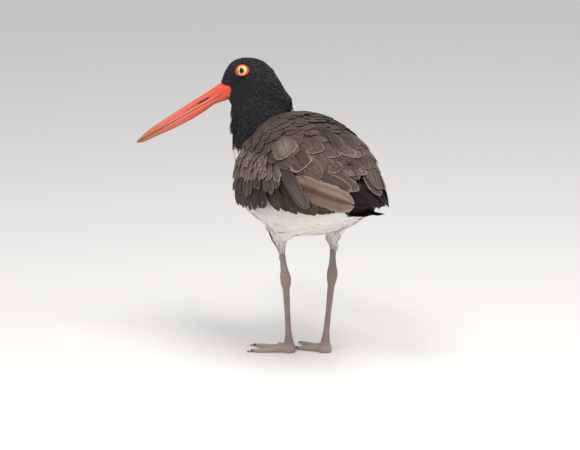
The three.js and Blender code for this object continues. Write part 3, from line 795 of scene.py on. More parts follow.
def feathered(roots):
    """True where small feathers grow: not in the eye, on the bill or under the wings."""
    keep = np.ones(len(roots), bool)
    for side in SIDES.values():
        centre, out = eye_frame(side)
        along = (roots - centre) @ out
        off = roots - centre - along[:, None] * out
        wide = np.linalg.norm(off, axis=1)
        rise = off[:, 2] / np.maximum(wide, 1e-6)
        opening = (LID["radius"] + LID["thickness"]) * (1 - (1 - LID["tall"]) * rise**2) - 0.75
        keep &= ~((along > 0) & (wide < opening))
    ahead, _, height = in_head(roots)
    jagged = 0.5 * np.sin(height * 2.9) + 0.3 * np.sin(height * 6.1)
    keep &= ahead < face_edge(height) + jagged - 0.4
    y, angle = roots[:, 1], coat_angle(roots)
    below_top = (angle > wing_top(y) + 8) | (y > -15)
    under_wing = (y > CORE_START) & (angle < wing_edge(y) + 7) & below_top & (roots[:, 2] > THIGH_TOP)
    over_tail = (y > RUMP_START) & (roots[:, 2] > TAIL_ROOT_HEIGHT)
    return keep & ~under_wing & ~over_tail


def build_coat(looks, skin):
    """The small feathers of head, neck, breast, belly and thighs."""
    random = np.random.default_rng(7)
    roots, normals, kinds, tree = scatter(skin, random)
    keep = feathered(roots)
    roots, normals, kinds = roots[keep], normals[keep], kinds[keep]
    field = lie(roots)
    field = unit(field - (field * normals).sum(1, keepdims=True) * normals)
    field = unit(field + np.cross(normals, field) * random.normal(0, 0.16, len(roots))[:, None])
    raised = ruffle(roots)
    colour = coat_colour(roots, looks)
    for kind, (length, half, _, stand, sunk, roll, uneven) in TUFTS.items():
        here = kinds == kind
        n = int(here.sum())
        lengths = length * random.uniform(0.8, 1.2, n) * looks.feather_length * (1 + 0.2 * (raised[here] - 1))
        halves = half * random.uniform(0.8, 1.2, n)
        stands = stand * random.uniform(0.5, 1.3, n) * raised[here]
        tint = colour[here] * (1 + np.clip(random.normal(0, uneven, n), -0.7, 1.0))[:, None]
        piece = tufts(
            f"coat_{kind}", roots[here], normals[here], field[here], lengths, halves, stands, sunk, roll,
            tree, random, tint,
        )
        hood = kind in ("face", "crown", "neck")
        if not hood:
            piece.data.set_sharp_from_angle(angle=CREASE)
        finish_piece(piece, loose_down(), "black_feathers" if hood else "white_feathers")


# Large feathers
ACROSS = np.array([-1, -0.9, -0.68, -0.36, -0.08, 0, 0.08, 0.36, 0.68, 0.9, 1])
MAP_CELLS = 16  # large feathers along each side of their map
SLITS = 3  # gaps where barbs split apart, along each edge
SLANT = 0.55  # how far the barbs run ahead to the edge, against the half width
CAMBER = 36  # radius of a vane's bend from edge to edge
WAVE = 0.1  # height of the waves along a vane's edges
WAVE_REACH = 2.3  # a wave is 2 pi times so long
SHAFT_RISE = 0.25  # how far the shaft stands out at its root
LONE_DEPTH = 2.8  # how far a lone feather's root lies below its tip

# Colours of a large feather: most of it, its middle, its rim and its shaft
LOOKS = {
    "black": ("#0c0a0b", "#120f11", "#3b3536", "#080708"),
    "dark": ("#352b26", "#453931", "#85796f", "#211a17"),
    "umber": ("#42362f", "#55473e", "#8e8176", "#271f1b"),
    "tan": ("#463b35", "#6e5f52", "#94867a", "#382e29"),
    "fawn": ("#52453e", "#7a685c", "#b9a99c", "#2e241e"),
    "mantle": ("#3f342e", "#4c4037", "#75685d", "#2f2621"),
    "grey": ("#4b423d", "#6a605a", "#948a83", "#3e3530"),
    "worn": ("#725b4f", "#8d7668", "#b8a496", "#3a251e"),
}


class Plumes:
    """Gathers the points, faces and values of many large feathers for one piece."""

    def __init__(self, seed):
        self.random = np.random.default_rng(seed)
        self.points, self.faces, self.tint, self.barb, self.uv = [], [], [], [], []
        self.count = 0

    def add(self, place, half, look, rim=0.6, stripe=0.05, ragged=0.08, stations=20, thick=0.4, tilt=0.35,
            blunt=0.62):
        """One feather. place(share, lift) gives points of its middle line for shares along it."""
        random = self.random
        columns = len(ACROSS)
        c = ACROSS[None]
        off = np.abs(c)
        s = np.linspace(0, 1, stations) ** 0.85
        middle = place(s, 0.0)
        length = np.linalg.norm(np.diff(middle, axis=0), axis=1).sum()
        out = unit(place(s, 1.0) - middle)
        along = unit(np.gradient(middle, axis=0))
        across = unit(np.cross(out, along))
        grow = np.minimum(1, (s / 0.22)) ** 0.6 * 0.45 + 0.55
        close = np.sqrt(np.clip(1 - (np.clip((s - blunt) / (1 - blunt), 0, 1)) ** 2.2, 0, 1))
        wide = (half * grow * np.maximum(close, 0.12))[:, None] * np.ones((1, columns))
        # barbs split apart here and there along each edge, and end unevenly all along it
        for edge in (0, columns - 1):
            wide[:, edge] *= 1 - 0.09 * random.random(stations)
            wide[random.integers(3, stations - 1, SLITS), edge] *= random.uniform(0.66, 0.86)
        slant = SLANT * half / length
        fray = ragged * random.random(columns) * (np.arange(columns) % 2 * 0.7 + 0.3)
        fray[columns // 2] = 0
        share = s[:, None] * (1 - fray[None])
        share = np.clip(share + slant * off * (1 - s[:, None] ** 3) * np.minimum(1, s[:, None] * 4), 0, 1)
        position = np.stack([np.interp(share, s, middle[:, axis]) for axis in range(3)], -1)
        rise = c * tilt * (wide / half) - (c * wide) ** 2 / (2 * CAMBER)
        rise = rise + WAVE * np.sin(share * length / WAVE_REACH + random.uniform(0, 6)) * off
        position = position + across[:, None] * (c * wide)[..., None] + out[:, None] * rise[..., None]
        ridge = np.where(off < 0.05, SHAFT_RISE, 0.0) * (1 - 0.7 * s[:, None])
        body = thick * (1 - 0.5 * s[:, None]) * (1 - 0.6 * off)
        top = position + out[:, None] * (body / 2 + ridge)[..., None]
        under = position - out[:, None] * (body / 2)[..., None]
        total = stations * columns
        upper = loft_faces(stations, columns, closed=False)
        rim_points = np.concatenate([
            np.arange(columns),
            columns - 1 + columns * np.arange(1, stations),
            total - 2 - np.arange(columns - 1),
            columns * np.arange(stations - 2, 0, -1),
        ])
        following = np.roll(rim_points, -1)
        wall = np.stack([following, rim_points, rim_points + total, following + total], -1)
        faces = np.concatenate([upper, upper[:, ::-1] + total, wall])
        if np.dot(np.cross(top[1, -1] - top[0, 0], top[1, 0] - top[0, -1]), out[0]) < 0:
            faces = faces[:, ::-1]
        colour = self.colours(share, off * np.ones_like(share), look, rim, stripe)
        cell = len(self.points)
        corner = np.array([cell % MAP_CELLS, cell // MAP_CELLS])
        within = np.stack([0.5 + 0.44 * c * np.ones_like(share), 0.03 + 0.94 * share], -1)
        cells = (corner + within) / MAP_CELLS
        barbs = share * length - off * half * 0.9
        self.points.append(np.concatenate([top.reshape(-1, 3), under.reshape(-1, 3)]))
        self.faces.append(faces + self.count)
        self.tint.append(np.tile(colour.reshape(-1, 3), (2, 1)))
        self.barb.append(np.tile(barbs.ravel(), 2))
        self.uv.append(np.tile(cells.reshape(-1, 2), (2, 1)))
        self.count += 2 * total

    def colours(self, share, off, look, rim, stripe):
        """Linear colours over one feather: a lighter heart, a thin pale rim towards the tip, a dark shaft."""
        random = self.random
        main, heart, edge, shaft = (linear(code) for code in LOOKS[look])
        depth = random.uniform(0.75, 1.3)
        hearted = (1 - smooth_step(off, 0.2, 0.85)) * window(share, (0.25, 0.7), (0.86, 1))
        edged = np.maximum(smooth_step(off, 0.84, 0.97), smooth_step(share, 0.93, 0.99))
        rimmed = edged * smooth_step(share, 0.3, 0.75) * rim * random.uniform(0.5, 1.1)
        shafted = 0.75 * (1 - smooth_step(off, stripe * 0.6, stripe * 1.6 + 0.02))
        mixed = blend(blend(main, heart, hearted), shaft, shafted)
        streak = 0.13 * random.standard_normal((1, share.shape[1], 1))
        grain = 0.05 * random.standard_normal((*share.shape, 1))
        return blend(mixed * depth * (1 + streak + grain), edge, rimmed)

    def piece(self, name):
        """The gathered feathers as one object."""
        values = {"tint": np.concatenate(self.tint), "barb": np.concatenate(self.barb)}
        points, faces, uv = (np.concatenate(part) for part in (self.points, self.faces, self.uv))
        piece = new_piece(name, points, faces, values, uv)
        piece.data.set_sharp_from_angle(angle=CREASE)
        return piece


def on_coat(side, root, tip, rise, bow=0.0):
    """A feather's middle line over the wing, from root to tip, each as (y, angle)."""

    def place(share, lift):
        share = np.asarray(share, float)
        y = root[0] + (tip[0] - root[0]) * share
        angle = root[1] + (tip[1] - root[1]) * share + bow * 4 * share * (1 - share)
        return coat_point(y, angle, side, rise[0] + (rise[1] - rise[0]) * share**0.7 + lift)

    return place


# Rows of the folded wing, from the lowest up: piece, feathers, first and last root, first and last tip as
# (y, angle), half widths, rise from root to tip, look, strength of the pale rim, raggedness, bluntness
WING_ROWS = [
    ("primaries", 7, [(50, 48), (66, 90)], [(123, 52), (100, 106)],
     (6, 5), (-5, -1), "black", 0.5, 0.04, 0.93),
    ("secondaries", 7, [(18, 88), (52, 92)], [(36, 101), (92, 118)],
     (5.6, 6), (-4.4, -1.2), "dark", 0.35, 0.12, 0.85),
    ("under_tertials", 4, [(26, 80), (52, 44)], [(88, 94), (100, 44)],
     (9, 8), (-4.6, -0.9), "dark", 0.5, 0.06, 0.85),
    ("rear_tertials", 4, [(44, 28), (60, 12)], [(96, 26), (103, 22)],
     (8, 6), (-4.5, -0.7), "umber", 0.5, 0.06, 0.85),
    ("greater_coverts", 11, [(-56, 92), (10, 78)], [(-60, 121), (19, 103)],
     (6.0, 6.2), (-3.6, 0.0), "dark", 0.7, 0.2, 0.8),
    ("median_coverts", 12, [(-49, 82), (24, 68)], [(-60, 102), (38, 86)],
     (4.2, 5.2), (-3.4, 0.3), "umber", 0.7, 0.2, 0.78),
    ("upper_median_coverts", 13, [(-44, 73), (20, 62)], [(-55, 92), (34, 80)],
     (3.8, 5), (-3.4, 0.5), "fawn", 0.8, 0.22, 0.75),
    ("lesser_coverts", 17, [(-40, 64), (8, 58)], [(-48, 83), (20, 75)],
     (2.9, 3.8), (-3.2, 0.7), "fawn", 1.0, 0.25, 0.72),
    ("small_coverts", 17, [(-37, 57), (4, 50)], [(-43, 74), (15, 68)],
     (2.8, 3.8), (-3.2, 0.9), "fawn", 1.0, 0.25, 0.72),
    ("shoulder_coverts", 14, [(-34, 47), (0, 42)], [(-38, 65), (12, 60)],
     (3.0, 4), (-3.2, 1.0), "umber", 0.8, 0.22, 0.72),
    ("low_scapulars", 6, [(-22, 48), (34, 48)], [(-2, 60), (74, 50)],
     (8, 9), (-2.4, 0.3), "umber", 0.5, 0.08, 0.58),
    ("mid_scapulars", 6, [(-26, 36), (34, 32)], [(-6, 48), (72, 38)],
     (7.5, 8.5), (-2.2, 0.4), "umber", 0.5, 0.08, 0.58),
    ("high_scapulars", 7, [(-26, 22), (38, 16)], [(-6, 32), (76, 20)],
     (7, 8), (-2.0, 0.5), "umber", 0.4, 0.08, 0.58),
    ("back_feathers", 8, [(-26, 4), (46, 3)], [(-6, 8), (80, 7)],
     (6, 6.5), (-2.0, 0.5), "umber", 0.4, 0.08, 0.58),
]

# The feathers that stand out one by one: piece, side or both, root, tip, half width, rise at the tip, look,
# pale rim, raggedness, width of the dark stripe along the shaft
LONE_PLUMES = [
    ("primaries", 1, (70, 40), (130, 15), 6.0, -0.5, "black", 0.4, 0.03, 0.05),
    ("primaries", -1, (70, 40), (128, 18), 6.0, -1.4, "black", 0.4, 0.03, 0.05),
    ("primaries", 0, (66, 50), (123, 38), 6.0, -1.0, "black", 0.4, 0.03, 0.05),
    ("secondaries", 0, (24, 76), (40, 103), 5.4, -0.7, "dark", 0.7, 0.14, 0.05),
    ("secondaries", 0, (34, 74), (54, 105), 6.0, -0.6, "dark", 0.7, 0.14, 0.05),
    ("secondaries", 0, (42, 74), (67, 108), 6.4, -0.5, "dark", 0.6, 0.14, 0.05),
    ("secondaries", 0, (54, 74), (76, 114), 6.8, -0.45, "umber", 0.6, 0.14, 0.05),
    ("worn_tertials", 0, (50, 76), (112, 84), 11.0, 1.1, "worn", 0.8, 0.22, 0.3),
    ("worn_tertials", 0, (34, 60), (70, 103), 7.5, 0.9, "grey", 0.5, 0.1, 0.04),
    ("tertials", 0, (48, 54), (103, 42), 7.5, 0.9, "dark", 0.9, 0.06, 0.05),
    ("tertials", 0, (46, 40), (106, 26), 7.5, 0.9, "umber", 0.8, 0.06, 0.05),
    ("tertials", -1, (56, 22), (115, 22), 7.0, 0.1, "umber", 0.8, 0.06, 0.05),
    ("lone_scapulars", 0, (60, 6), (88, 6), 8.0, 0.7, "tan", 0.9, 0.1, 0.04),
    ("lone_scapulars", 0, (50, 26), (79, 18), 7.5, 0.7, "umber", 1.0, 0.08, 0.05),
    ("lone_scapulars", -1, (30, 10), (66, 14), 7.5, 1.0, "tan", 0.8, 0.08, 0.04),
    ("lone_scapulars", 0, (30, 36), (57, 51), 10.5, 1.2, "umber", 1.1, 0.06, 0.05),
    ("lone_scapulars", 0, (40, 6), (63, 8), 7.0, 1.1, "umber", 1.1, 0.06, 0.05),
    ("lone_scapulars", 0, (26, 12), (53, 22), 8.5, 1.3, "umber", 1.1, 0.06, 0.05),
    ("lone_scapulars", 0, (-2, 24), (37, 48), 12.0, 1.3, "tan", 0.7, 0.05, 0.025),
]
MANTLE_ROWS = 6


def mantle(side, plumes):
    """Soft small feathers between the shoulders, in rows from the neck back."""
    random = plumes.random

    def soft(front, angle, longest):
        root = (front + random.normal(0, 1.2), angle + random.normal(0, 1.5))
        tip = (root[0] + random.uniform(0.75, 1) * longest, angle * 1.12 + 1 + random.normal(0, 2))
        swell = 2.4 * float(1 - smooth_step(front, -22, 14))
        rise = (-2.2 + swell * 0.8, 0.5 + swell * 0.75 + random.uniform(-0.1, 0.1))
        plumes.add(on_coat(side, root, tip, rise, random.normal(0, 1)), random.uniform(3.8, 5.2), "mantle",
                   rim=0.7, ragged=0.2, stations=14, thick=0.2, tilt=0.1, blunt=0.6)

    for row in range(MANTLE_ROWS):
        front = -31 + 7.5 * row
        widest = 50 - 6.5 * row
        count = 10 - row
        for i in range(count):
            angle = 3 + (widest - 3) * (i + 0.5 * (row % 2)) / (count - 1)
            soft(front + 0.12 * angle * (row < 3), angle, 22)
    # the middle of the back, where the two wings meet
    if side > 0:
        for front in np.arange(-27, 74, 7.5):
            soft(front, 0.0, 24)


def build_wing(name, side):
    """All the feathers of a folded wing, tier over tier."""
    seed = 100 if side > 0 else 150
    gathered = {}
    for label, count, roots, tips, halves, rise, look, rim, ragged, blunt in WING_ROWS:
        plumes = gathered.setdefault(label, Plumes(seed + len(gathered)))
        random = plumes.random
        for i in range(count):
            t = i / (count - 1)
            root = np.array(roots[0]) * (1 - t) + np.array(roots[1]) * t + random.normal(0, 0.8, 2)
            tip = np.array(tips[0]) * (1 - t) + np.array(tips[1]) * t + random.normal(0, 1.7, 2)
            half = (halves[0] * (1 - t) + halves[1] * t) * random.uniform(0.9, 1.1)
            lift = (rise[0], rise[1] + random.uniform(-0.2, 0.3))
            line = on_coat(side, root, tip, lift, random.normal(0, 1))
            plumes.add(line, half, look, rim=rim, ragged=ragged, blunt=blunt)
    for label, only, root, tip, half, lift, look, rim, ragged, stripe in LONE_PLUMES:
        if only in (0, side):
            plumes = gathered.setdefault(label, Plumes(seed + len(gathered)))
            line = on_coat(side, root, tip, (lift - LONE_DEPTH, lift))
            plumes.add(line, half, look, rim=rim, ragged=ragged, stripe=stripe)
    mantle(side, gathered.setdefault("mantle_feathers", Plumes(seed + len(gathered))))
    return [plumes.piece(f"{name}_{label}") for label, plumes in gathered.items()]


def build_tail():
    """The tail's fan, under the wing tips."""
    plumes = Plumes(300)
    for i in range(12):
        share = (i - 5.5) / 5.5
        root = np.array([share * 9, 90, 141.8 - 3 * abs(share)])
        tip = np.array([share * 9, 117.3 - 3 * share * share, 143.2 - 2.2 * abs(share)])

        def place(along, lift, root=root, tip=tip):
            return root + (tip - root) * np.asarray(along, float)[:, None] + np.array([0, 0, 1]) * lift

        plumes.add(place, 4.2, "black", rim=0.3, tilt=-0.3 * np.sign(share), blunt=0.85)
    return plumes.piece("tail_feathers")


# The bill
NOSTRIL = (19, 32)  # along the mouth line
MOUTH = 0.04  # each half lies this far from the mouth line
# Stretches of the mouth line, each with its number of steps: finest round the nostril
BILL_STEPS = ((BILL_ROOT_AT, 14, 22), (14, 38, 60), (38, BILL_LENGTH, 89))
# Colours along the mouth line from root to tip
BILL_COLOURS = {
    BILL_ROOT_AT: "#c9401f", 8: "#d84822", 30: "#d24f31", 52: "#cc5a45", 70: "#c0603f", 84: "#a86936",
    BILL_LENGTH: "#8c6538",
}


def bill_colour(along, above, depth, across):
    """Linear colours of the bill: orange-red at the root, pinker ahead of the nostril, horn at the tip."""
    places = list(BILL_COLOURS)
    table = np.array([linear(code) for code in BILL_COLOURS.values()])
    colour = np.stack([np.interp(along, places, table[:, axis]) for axis in range(3)], -1)
    share = above / depth
    # painted highlight: a greyish pink along the ridge of each half, from about 22 to 90 mm along
    worn = 0.35 * smooth_step(share, 0.8, 1.0) * window(along, (22, 45), (70, 90))
    colour = blend(colour, linear("#a58d86"), worn)
    # painted highlights: paler bands along the sides of each half, at steps in height
    streak = 0.5 + 0.5 * np.sin(share * 19 + 1.3 * np.sin(along * 0.21))
    return colour * (0.86 + 0.2 * streak * smooth_step(across, 0.1, 0.6))[..., None]


def nostril(place, above):
    """How deep the nostril's trough and its slit are at points of the bill's upper half, from 0 to 1."""
    start, end = NOSTRIL
    middle = 3.1 - (place - start) * 0.02
    trough = bell(above, middle, 0.95) * window(place, (8, 18), (34, 50))
    slit = bell(above, middle, 0.42, 4) * window(place, (start, start + 2), (end - 2, end))
    return trough, slit


def build_mandible(name, edge, sign):
    """One half of the bill, with its cutting edge and, above, the nostril's groove and slit on each side."""
    along = [np.linspace(start, end, steps, endpoint=False) for start, end, steps in BILL_STEPS]
    outside, mouth = np.linspace(0, math.pi, 65), np.linspace(math.pi, 2 * math.pi, 13)[1:-1]
    place, turn = np.meshgrid(
        np.concatenate([*along, [BILL_LENGTH]]), np.concatenate([outside, mouth]), indexing="ij"
    )
    depth, wide = edge(place), bill_width(place)
    flat = turn > math.pi
    sine = np.where(flat, 0, np.sin(turn))
    cosine = np.cos(turn)
    across = np.where(flat, cosine * 0.9, np.sign(cosine) * np.abs(cosine) ** 0.75)
    above = MOUTH + (depth - MOUTH) * np.abs(sine) ** 0.85
    # a raised cutting edge, and a shallow groove between it and the rest
    inset = 0.14 * bell(above, 1.5, 0.45) * window(place, (6, 16), (60, 84))
    dark = np.zeros_like(place)
    if sign > 0:
        trough, slit = nostril(place, above)
        inset = inset + 0.32 * trough + 0.85 * slit
        # painted shade: the nostril's slit is drawn nearly black, and its trough a little darker
        dark = np.clip(slit * 1.3 + 0.28 * trough, 0, 1)
    inset = np.where(flat, 0, inset)
    # the base is pinched in above the gape, where the face's feathers run out over it
    pinch = 1 - 0.45 * smooth_step(above / depth, 0.3, 0.9) * (1 - smooth_step(place, 0, 9)) * (sign > 0)
    points = bill_point(place, across * (wide - inset) * pinch, sign * above)
    colour = bill_colour(place, above, depth, np.abs(across))
    # painted highlight: a pale pink line along the cutting edge
    pale = 0.55 * bell(above, 0.95, 0.3) * window(place, (10, 20), (44, 74))
    colour = blend(colour, linear("#f0b09a"), pale)
    # painted shade along the mouth line, where the two halves meet
    mouth_shade = (1 - smooth_step(above, 0.25, 0.8)) * smooth_step(place, 4, 14) * ~flat
    colour = blend(colour, 0, 0.62 * mouth_shade)
    colour = blend(colour, linear("#2a100c"), dark)
    if sign < 0:
        keel = 0.3 * smooth_step(above / depth, 0.75, 1.0)
        colour = blend(colour, linear("#a93322"), keel)
    points, faces = closed_loft(points)
    tint = np.concatenate([colour[:1], colour, colour[-1:]]).reshape(-1, 3)
    return weld(new_piece(name, points, faces, {"tint": tint}))


# The eyes
def build_eyeball(name, side, looks):
    """An eyeball with its cornea's bulge, a black pupil, a flecked iris and a dark rim."""
    centre, out, forward, upward = eye_axes(side)
    lean = np.radians(np.concatenate([np.linspace(0, 62, 90), np.linspace(62, 180, 24)[1:]]))
    lean, turn = np.meshgrid(lean, circle(96), indexing="ij")
    across, above = np.sin(lean) * np.cos(turn), np.sin(lean) * np.sin(turn)
    ring = np.hypot(across, above / LID["tall"]) * EYE["radius"]
    hidden = np.where(lean > math.pi / 2, 1, smooth_step(ring, LID["radius"], LID["radius"] + 0.8))
    radius = EYE["radius"] + 0.35 * np.exp(-((lean / 0.55) ** 4)) - 1.1 * hidden
    points = centre + radius[..., None] * (
        across[..., None] * forward + above[..., None] * upward + np.cos(lean)[..., None] * out
    )
    x, y = across * EYE["radius"], above * EYE["radius"]
    off = np.hypot(x, y)
    pupil = 1 - smooth_step(np.hypot((x - 0.1) / 0.74, y + 0.35), 2.35, 2.6)
    fleck = 1 - smooth_step(np.hypot((x - 3.0) / 1.0, (y + 1.1) / 0.75), 0.5, 0.9)
    rim = 0.8 * smooth_step(off, 3.7, 4.5)
    rays = 0.5 + 0.5 * np.sin(turn * 31 + 2.3 * np.sin(off * 5))
    iris = np.array(looks.iris) * (0.84 + 0.22 * rays + 0.12 * np.sin(off * 4))[..., None]
    colour = blend(iris, linear("#5a3a18"), rim)
    colour = blend(colour, 0, 0.85 * fleck)
    colour = blend(colour, linear("#060505"), pupil)
    return welded_sheet(name, points, colour)


def build_lid(name, side, looks):
    """The bare ring round an eye: wider than tall, drawn to a low corner in front, warty along its edges."""
    centre, out, forward, upward = eye_axes(side)
    # turn goes round the eye, and roll round the ring's own thickness
    turn, roll = np.meshgrid(circle(144), circle(20), indexing="ij")
    wart = 0.05 * np.sin(turn * 37 + 2 * np.sin(turn * 5)) + 0.04 * np.sin(turn * 61 + roll)
    thick = 0.85 * LID["thickness"] * (1 + wart) * (1 + 0.12 * np.cos(turn))
    corner = 0.75 * np.exp(-((((turn + 0.45 + math.pi) % (2 * math.pi)) - math.pi) / 0.35) ** 2)
    line = LID["radius"] + corner
    x, y = line * np.cos(turn), line * LID["tall"] * np.sin(turn)
    radial = np.hypot(x, y)
    rest = np.sqrt(np.maximum(EYE["radius"] ** 2 - np.minimum(radial, 6.1) ** 2, 0)) + 0.3
    x, y = x * (1 + thick * np.cos(roll) / radial), y * (1 + thick * np.cos(roll) / radial)
    high = rest + 0.95 * thick * np.sin(roll)
    points = centre + x[..., None] * forward + y[..., None] * upward + high[..., None] * out
    colour = np.array(looks.eye_ring) * (1 + 3 * wart[..., None])
    colour = blend(colour, linear("#e8a23a"), 0.55 * smooth_step(-np.cos(roll), 0.35, 0.95))
    # painted shade: the ring's outer side darkens where it meets the feathers
    colour = blend(colour, 0, 0.45 * smooth_step(np.cos(roll), 0.5, 1.0))
    return welded_sheet(name, np.concatenate([points, points[:1]]), np.concatenate([colour, colour[:1]]))


# The legs: where each one meets its toes, and the hock above
LEGS = {
    "left": {"foot": (14.4, -7.6), "hock": (23.4, 3, 67.5)},
    "right": {"foot": (-12.9, 6.8), "hock": (-15.5, 15, 70)},
}
TOES = ("inner", "middle", "outer")
LEG_PARTS = ("shank", "tarsus", "knuckle", *(f"toe_{toe}" for toe in TOES))
FOOT_HEIGHT = 6  # the toes lie below this
SCUTE = 2.3  # length of the plates along shank and toes
NET = 1.5  # size of the small scales beside them
SCALE_DEPTH = 0.2


def scale_grooves(points, name):
    """How deep the grooves between scales are at points of a leg, from 0 to 1."""
    leg = LEGS[name]
    foot, hock = np.array(leg["foot"]), np.array(leg["hock"])
    up = points[:, 2]
    share = np.clip((up - FOOT_HEIGHT) / (hock[2] - FOOT_HEIGHT), 0, 1.6)[:, None]
    off = points[:, :2] - (foot + (hock[:2] - foot) * share)
    turn = np.arctan2(off[:, 0], -off[:, 1])

    def lines(value, size, sharp=12):
        return (0.5 + 0.5 * np.cos(2 * math.pi * value / size)) ** sharp

    plates = lines(up + 0.25 * np.abs(turn) * SCUTE, SCUTE)
    row = np.floor(up / NET)
    net = np.maximum(lines(up, NET, 6), lines(turn * 3 + 0.5 * NET * (row % 2), NET, 6)) * 0.8
    front = 1 - smooth_step(np.abs(turn), 0.9, 1.2)
    shaft = front * plates + (1 - front) * net
    reach = np.hypot(points[:, 0] - foot[0], points[:, 1] - foot[1])
    toe_top = lines(reach, SCUTE) * smooth_step(up, 1.2, 2.4)
    on_toe = (1 - smooth_step(up, FOOT_HEIGHT, 10)) * smooth_step(reach, 4, 7)
    return shaft * (1 - on_toe) + toe_top * on_toe


def build_leg(name, looks):
    """One skin over a leg's bare shank, hock, tarsus and toes: plates in front, small scales behind."""
    nodes = [f"{name}_{part}" for part in LEG_PARTS]
    leg = remeshed([copies(*nodes)], f"{name}_leg_skin", looks.leg_grain, 10, 0.0)
    points = mesh_points(leg)
    normals = np.empty(points.size, np.float32)
    leg.data.vertices.foreach_get("normal", normals)
    groove = scale_grooves(points, name)
    shaped = points + normals.reshape(-1, 3) * (0.12 - SCALE_DEPTH * groove)[:, None]
    shaped[:, 2] = np.maximum(shaped[:, 2], 0)
    leg.data.vertices.foreach_set("co", onto_solids(shaped).astype(np.float32).ravel())
    leg.data.update()
    hock = LEGS[name]["hock"][2]
    height = points[:, 2]
    near_hock = 0.5 * bell(height, hock, 9)
    above = 0.85 * smooth_step(height, hock + 4, hock + 15)
    low = 0.4 * (1 - smooth_step(height, 2, 9))
    colour = np.array(looks.leg) * (1 + 0.06 * np.sin(height * 0.35))[:, None]
    for code, share in (("#a3887f", near_hock), ("#88847f", above), ("#b39a90", low)):
        colour = blend(colour, linear(code), share)
    # painted shade in the grooves between the scales
    colour_layer(leg.data, blend(colour, 0, 0.42 * groove))
    return finish_piece(leg, scaled_skin(), "leg_skin", *nodes)


def build_claw(node):
    """A claw over its solid, rounded, lighter towards its point."""
    claw = copies(node)
    rounded = claw.modifiers.new("Rounded", "SUBSURF")
    rounded.levels = 3
    evaluated = claw.evaluated_get(bpy.context.evaluated_depsgraph_get())
    claw.data = bpy.data.meshes.new_from_object(evaluated)
    claw.modifiers.clear()
    claw.name = f"{node}_horn"
    claw.data.shade_smooth()
    points = mesh_points(claw)
    reach = np.linalg.norm(points[:, :2] - LEGS[node.split("_")[0]]["foot"], axis=1)
    tip = smooth_step(reach, reach.min(), reach.max())
    colour_layer(claw.data, blend(linear("#231d1b"), linear("#5b504a"), tip))
    return finish_piece(claw, worn_claw(), "claw", node)


# Operators
def looks_of(context):
    """The bird's sizes and colours, kept on the scene."""
    return context.scene.oystercatcher_looks


def colour_property(name, description, code):
    """A linear colour that a user would change, from its sRGB hex."""
    return FloatVectorProperty(
        name=name, description=description, default=tuple(linear(code)), subtype="COLOR", size=3, min=0, max=1
    )


def length_property(name, description, metres):
    """A length that a user would change."""
    return FloatProperty(
        name=name, description=description, default=metres, unit="LENGTH", subtype="DISTANCE"
    )


class OystercatcherLooks(bpy.types.PropertyGroup):
    """Sizes and colours that a user would change."""

    coat_depth: length_property("Coat depth", "How far the skin lies inside the outer feathers", 0.0012)
    skin_grain: length_property("Skin grain", "Edge length of the skin's faces", 0.0011)
    leg_grain: length_property("Leg grain", "Edge length of the leg skin's faces", 0.00045)
    feather_length: FloatProperty(
        name="Feather length", description="Length of the small feathers against their usual length",
        default=1.0, subtype="FACTOR",
    )
    black: colour_property("Hood", "Feathers of head, neck and bib", "#161619")
    brown: colour_property("Back", "Small feathers between the shoulders", "#463b34")
    white: colour_property("Belly", "Feathers of breast, belly and thighs", "#e6e2dc")
    iris: colour_property("Iris", "The eye's pale ring", "#dcc076")
    eye_ring: colour_property("Eye ring", "Bare skin round the eye", "#c9461a")
    leg: colour_property("Leg", "Scaled skin of shank and toes", "#96827c")


class OYSTERCATCHER_OT_coat(bpy.types.Operator):
    """Build the skin and the small feathers of head, neck, breast, belly and thighs"""

    bl_idname = "oystercatcher.coat"
    bl_label = "Skin and coat"

    def execute(self, context):
        skin = build_skin(looks_of(context))
        build_coat(looks_of(context), skin)
        return {"FINISHED"}


class OYSTERCATCHER_OT_wings(bpy.types.Operator):
    """Build the folded wings, feather by feather"""

    bl_idname = "oystercatcher.wings"
    bl_label = "Wings"

    def execute(self, context):
        for name, side in SIDES.items():
            pieces = build_wing(name, side)
            for piece in pieces:
                nodes = [f"{name}_wing"] if piece is pieces[0] else []
                slot = "black_feathers" if "primaries" in piece.name else "mantle_feathers"
                finish_piece(piece, barbed_vane(), slot, *nodes)
        return {"FINISHED"}


class OYSTERCATCHER_OT_tail(bpy.types.Operator):
    """Build the tail's fan of feathers"""

    bl_idname = "oystercatcher.tail"
    bl_label = "Tail"

    def execute(self, context):
        finish_piece(build_tail(), barbed_vane(), "black_feathers", "tail")
        return {"FINISHED"}


class OYSTERCATCHER_OT_bill(bpy.types.Operator):
    """Build both halves of the bill, with the nostrils"""

    bl_idname = "oystercatcher.bill"
    bl_label = "Bill"

    def execute(self, context):
        for half, edge, sign in (("upper", culmen, 1), ("lower", gonys, -1)):
            piece = build_mandible(f"{half}_mandible", edge, sign)
            finish_piece(piece, polished_horn(), "bill", f"bill_{half}")
        return {"FINISHED"}


class OYSTERCATCHER_OT_eyes(bpy.types.Operator):
    """Build the eyeballs and the bare rings round them"""

    bl_idname = "oystercatcher.eyes"
    bl_label = "Eyes and rings"

    def execute(self, context):
        for name, side in SIDES.items():
            eyeball = build_eyeball(f"{name}_eyeball", side, looks_of(context))
            finish_piece(eyeball, wet_eyeball(), "eye", f"{name}_eye")
            lid = build_lid(f"{name}_eye_ring", side, looks_of(context))
            finish_piece(lid, bare_ring(), "eye_ring", f"{name}_lid")
        return {"FINISHED"}


class OYSTERCATCHER_OT_legs(bpy.types.Operator):
    """Build the legs' scaled skin"""

    bl_idname = "oystercatcher.legs"
    bl_label = "Legs"

    def execute(self, context):
        for name in LEGS:
            build_leg(name, looks_of(context))
        return {"FINISHED"}


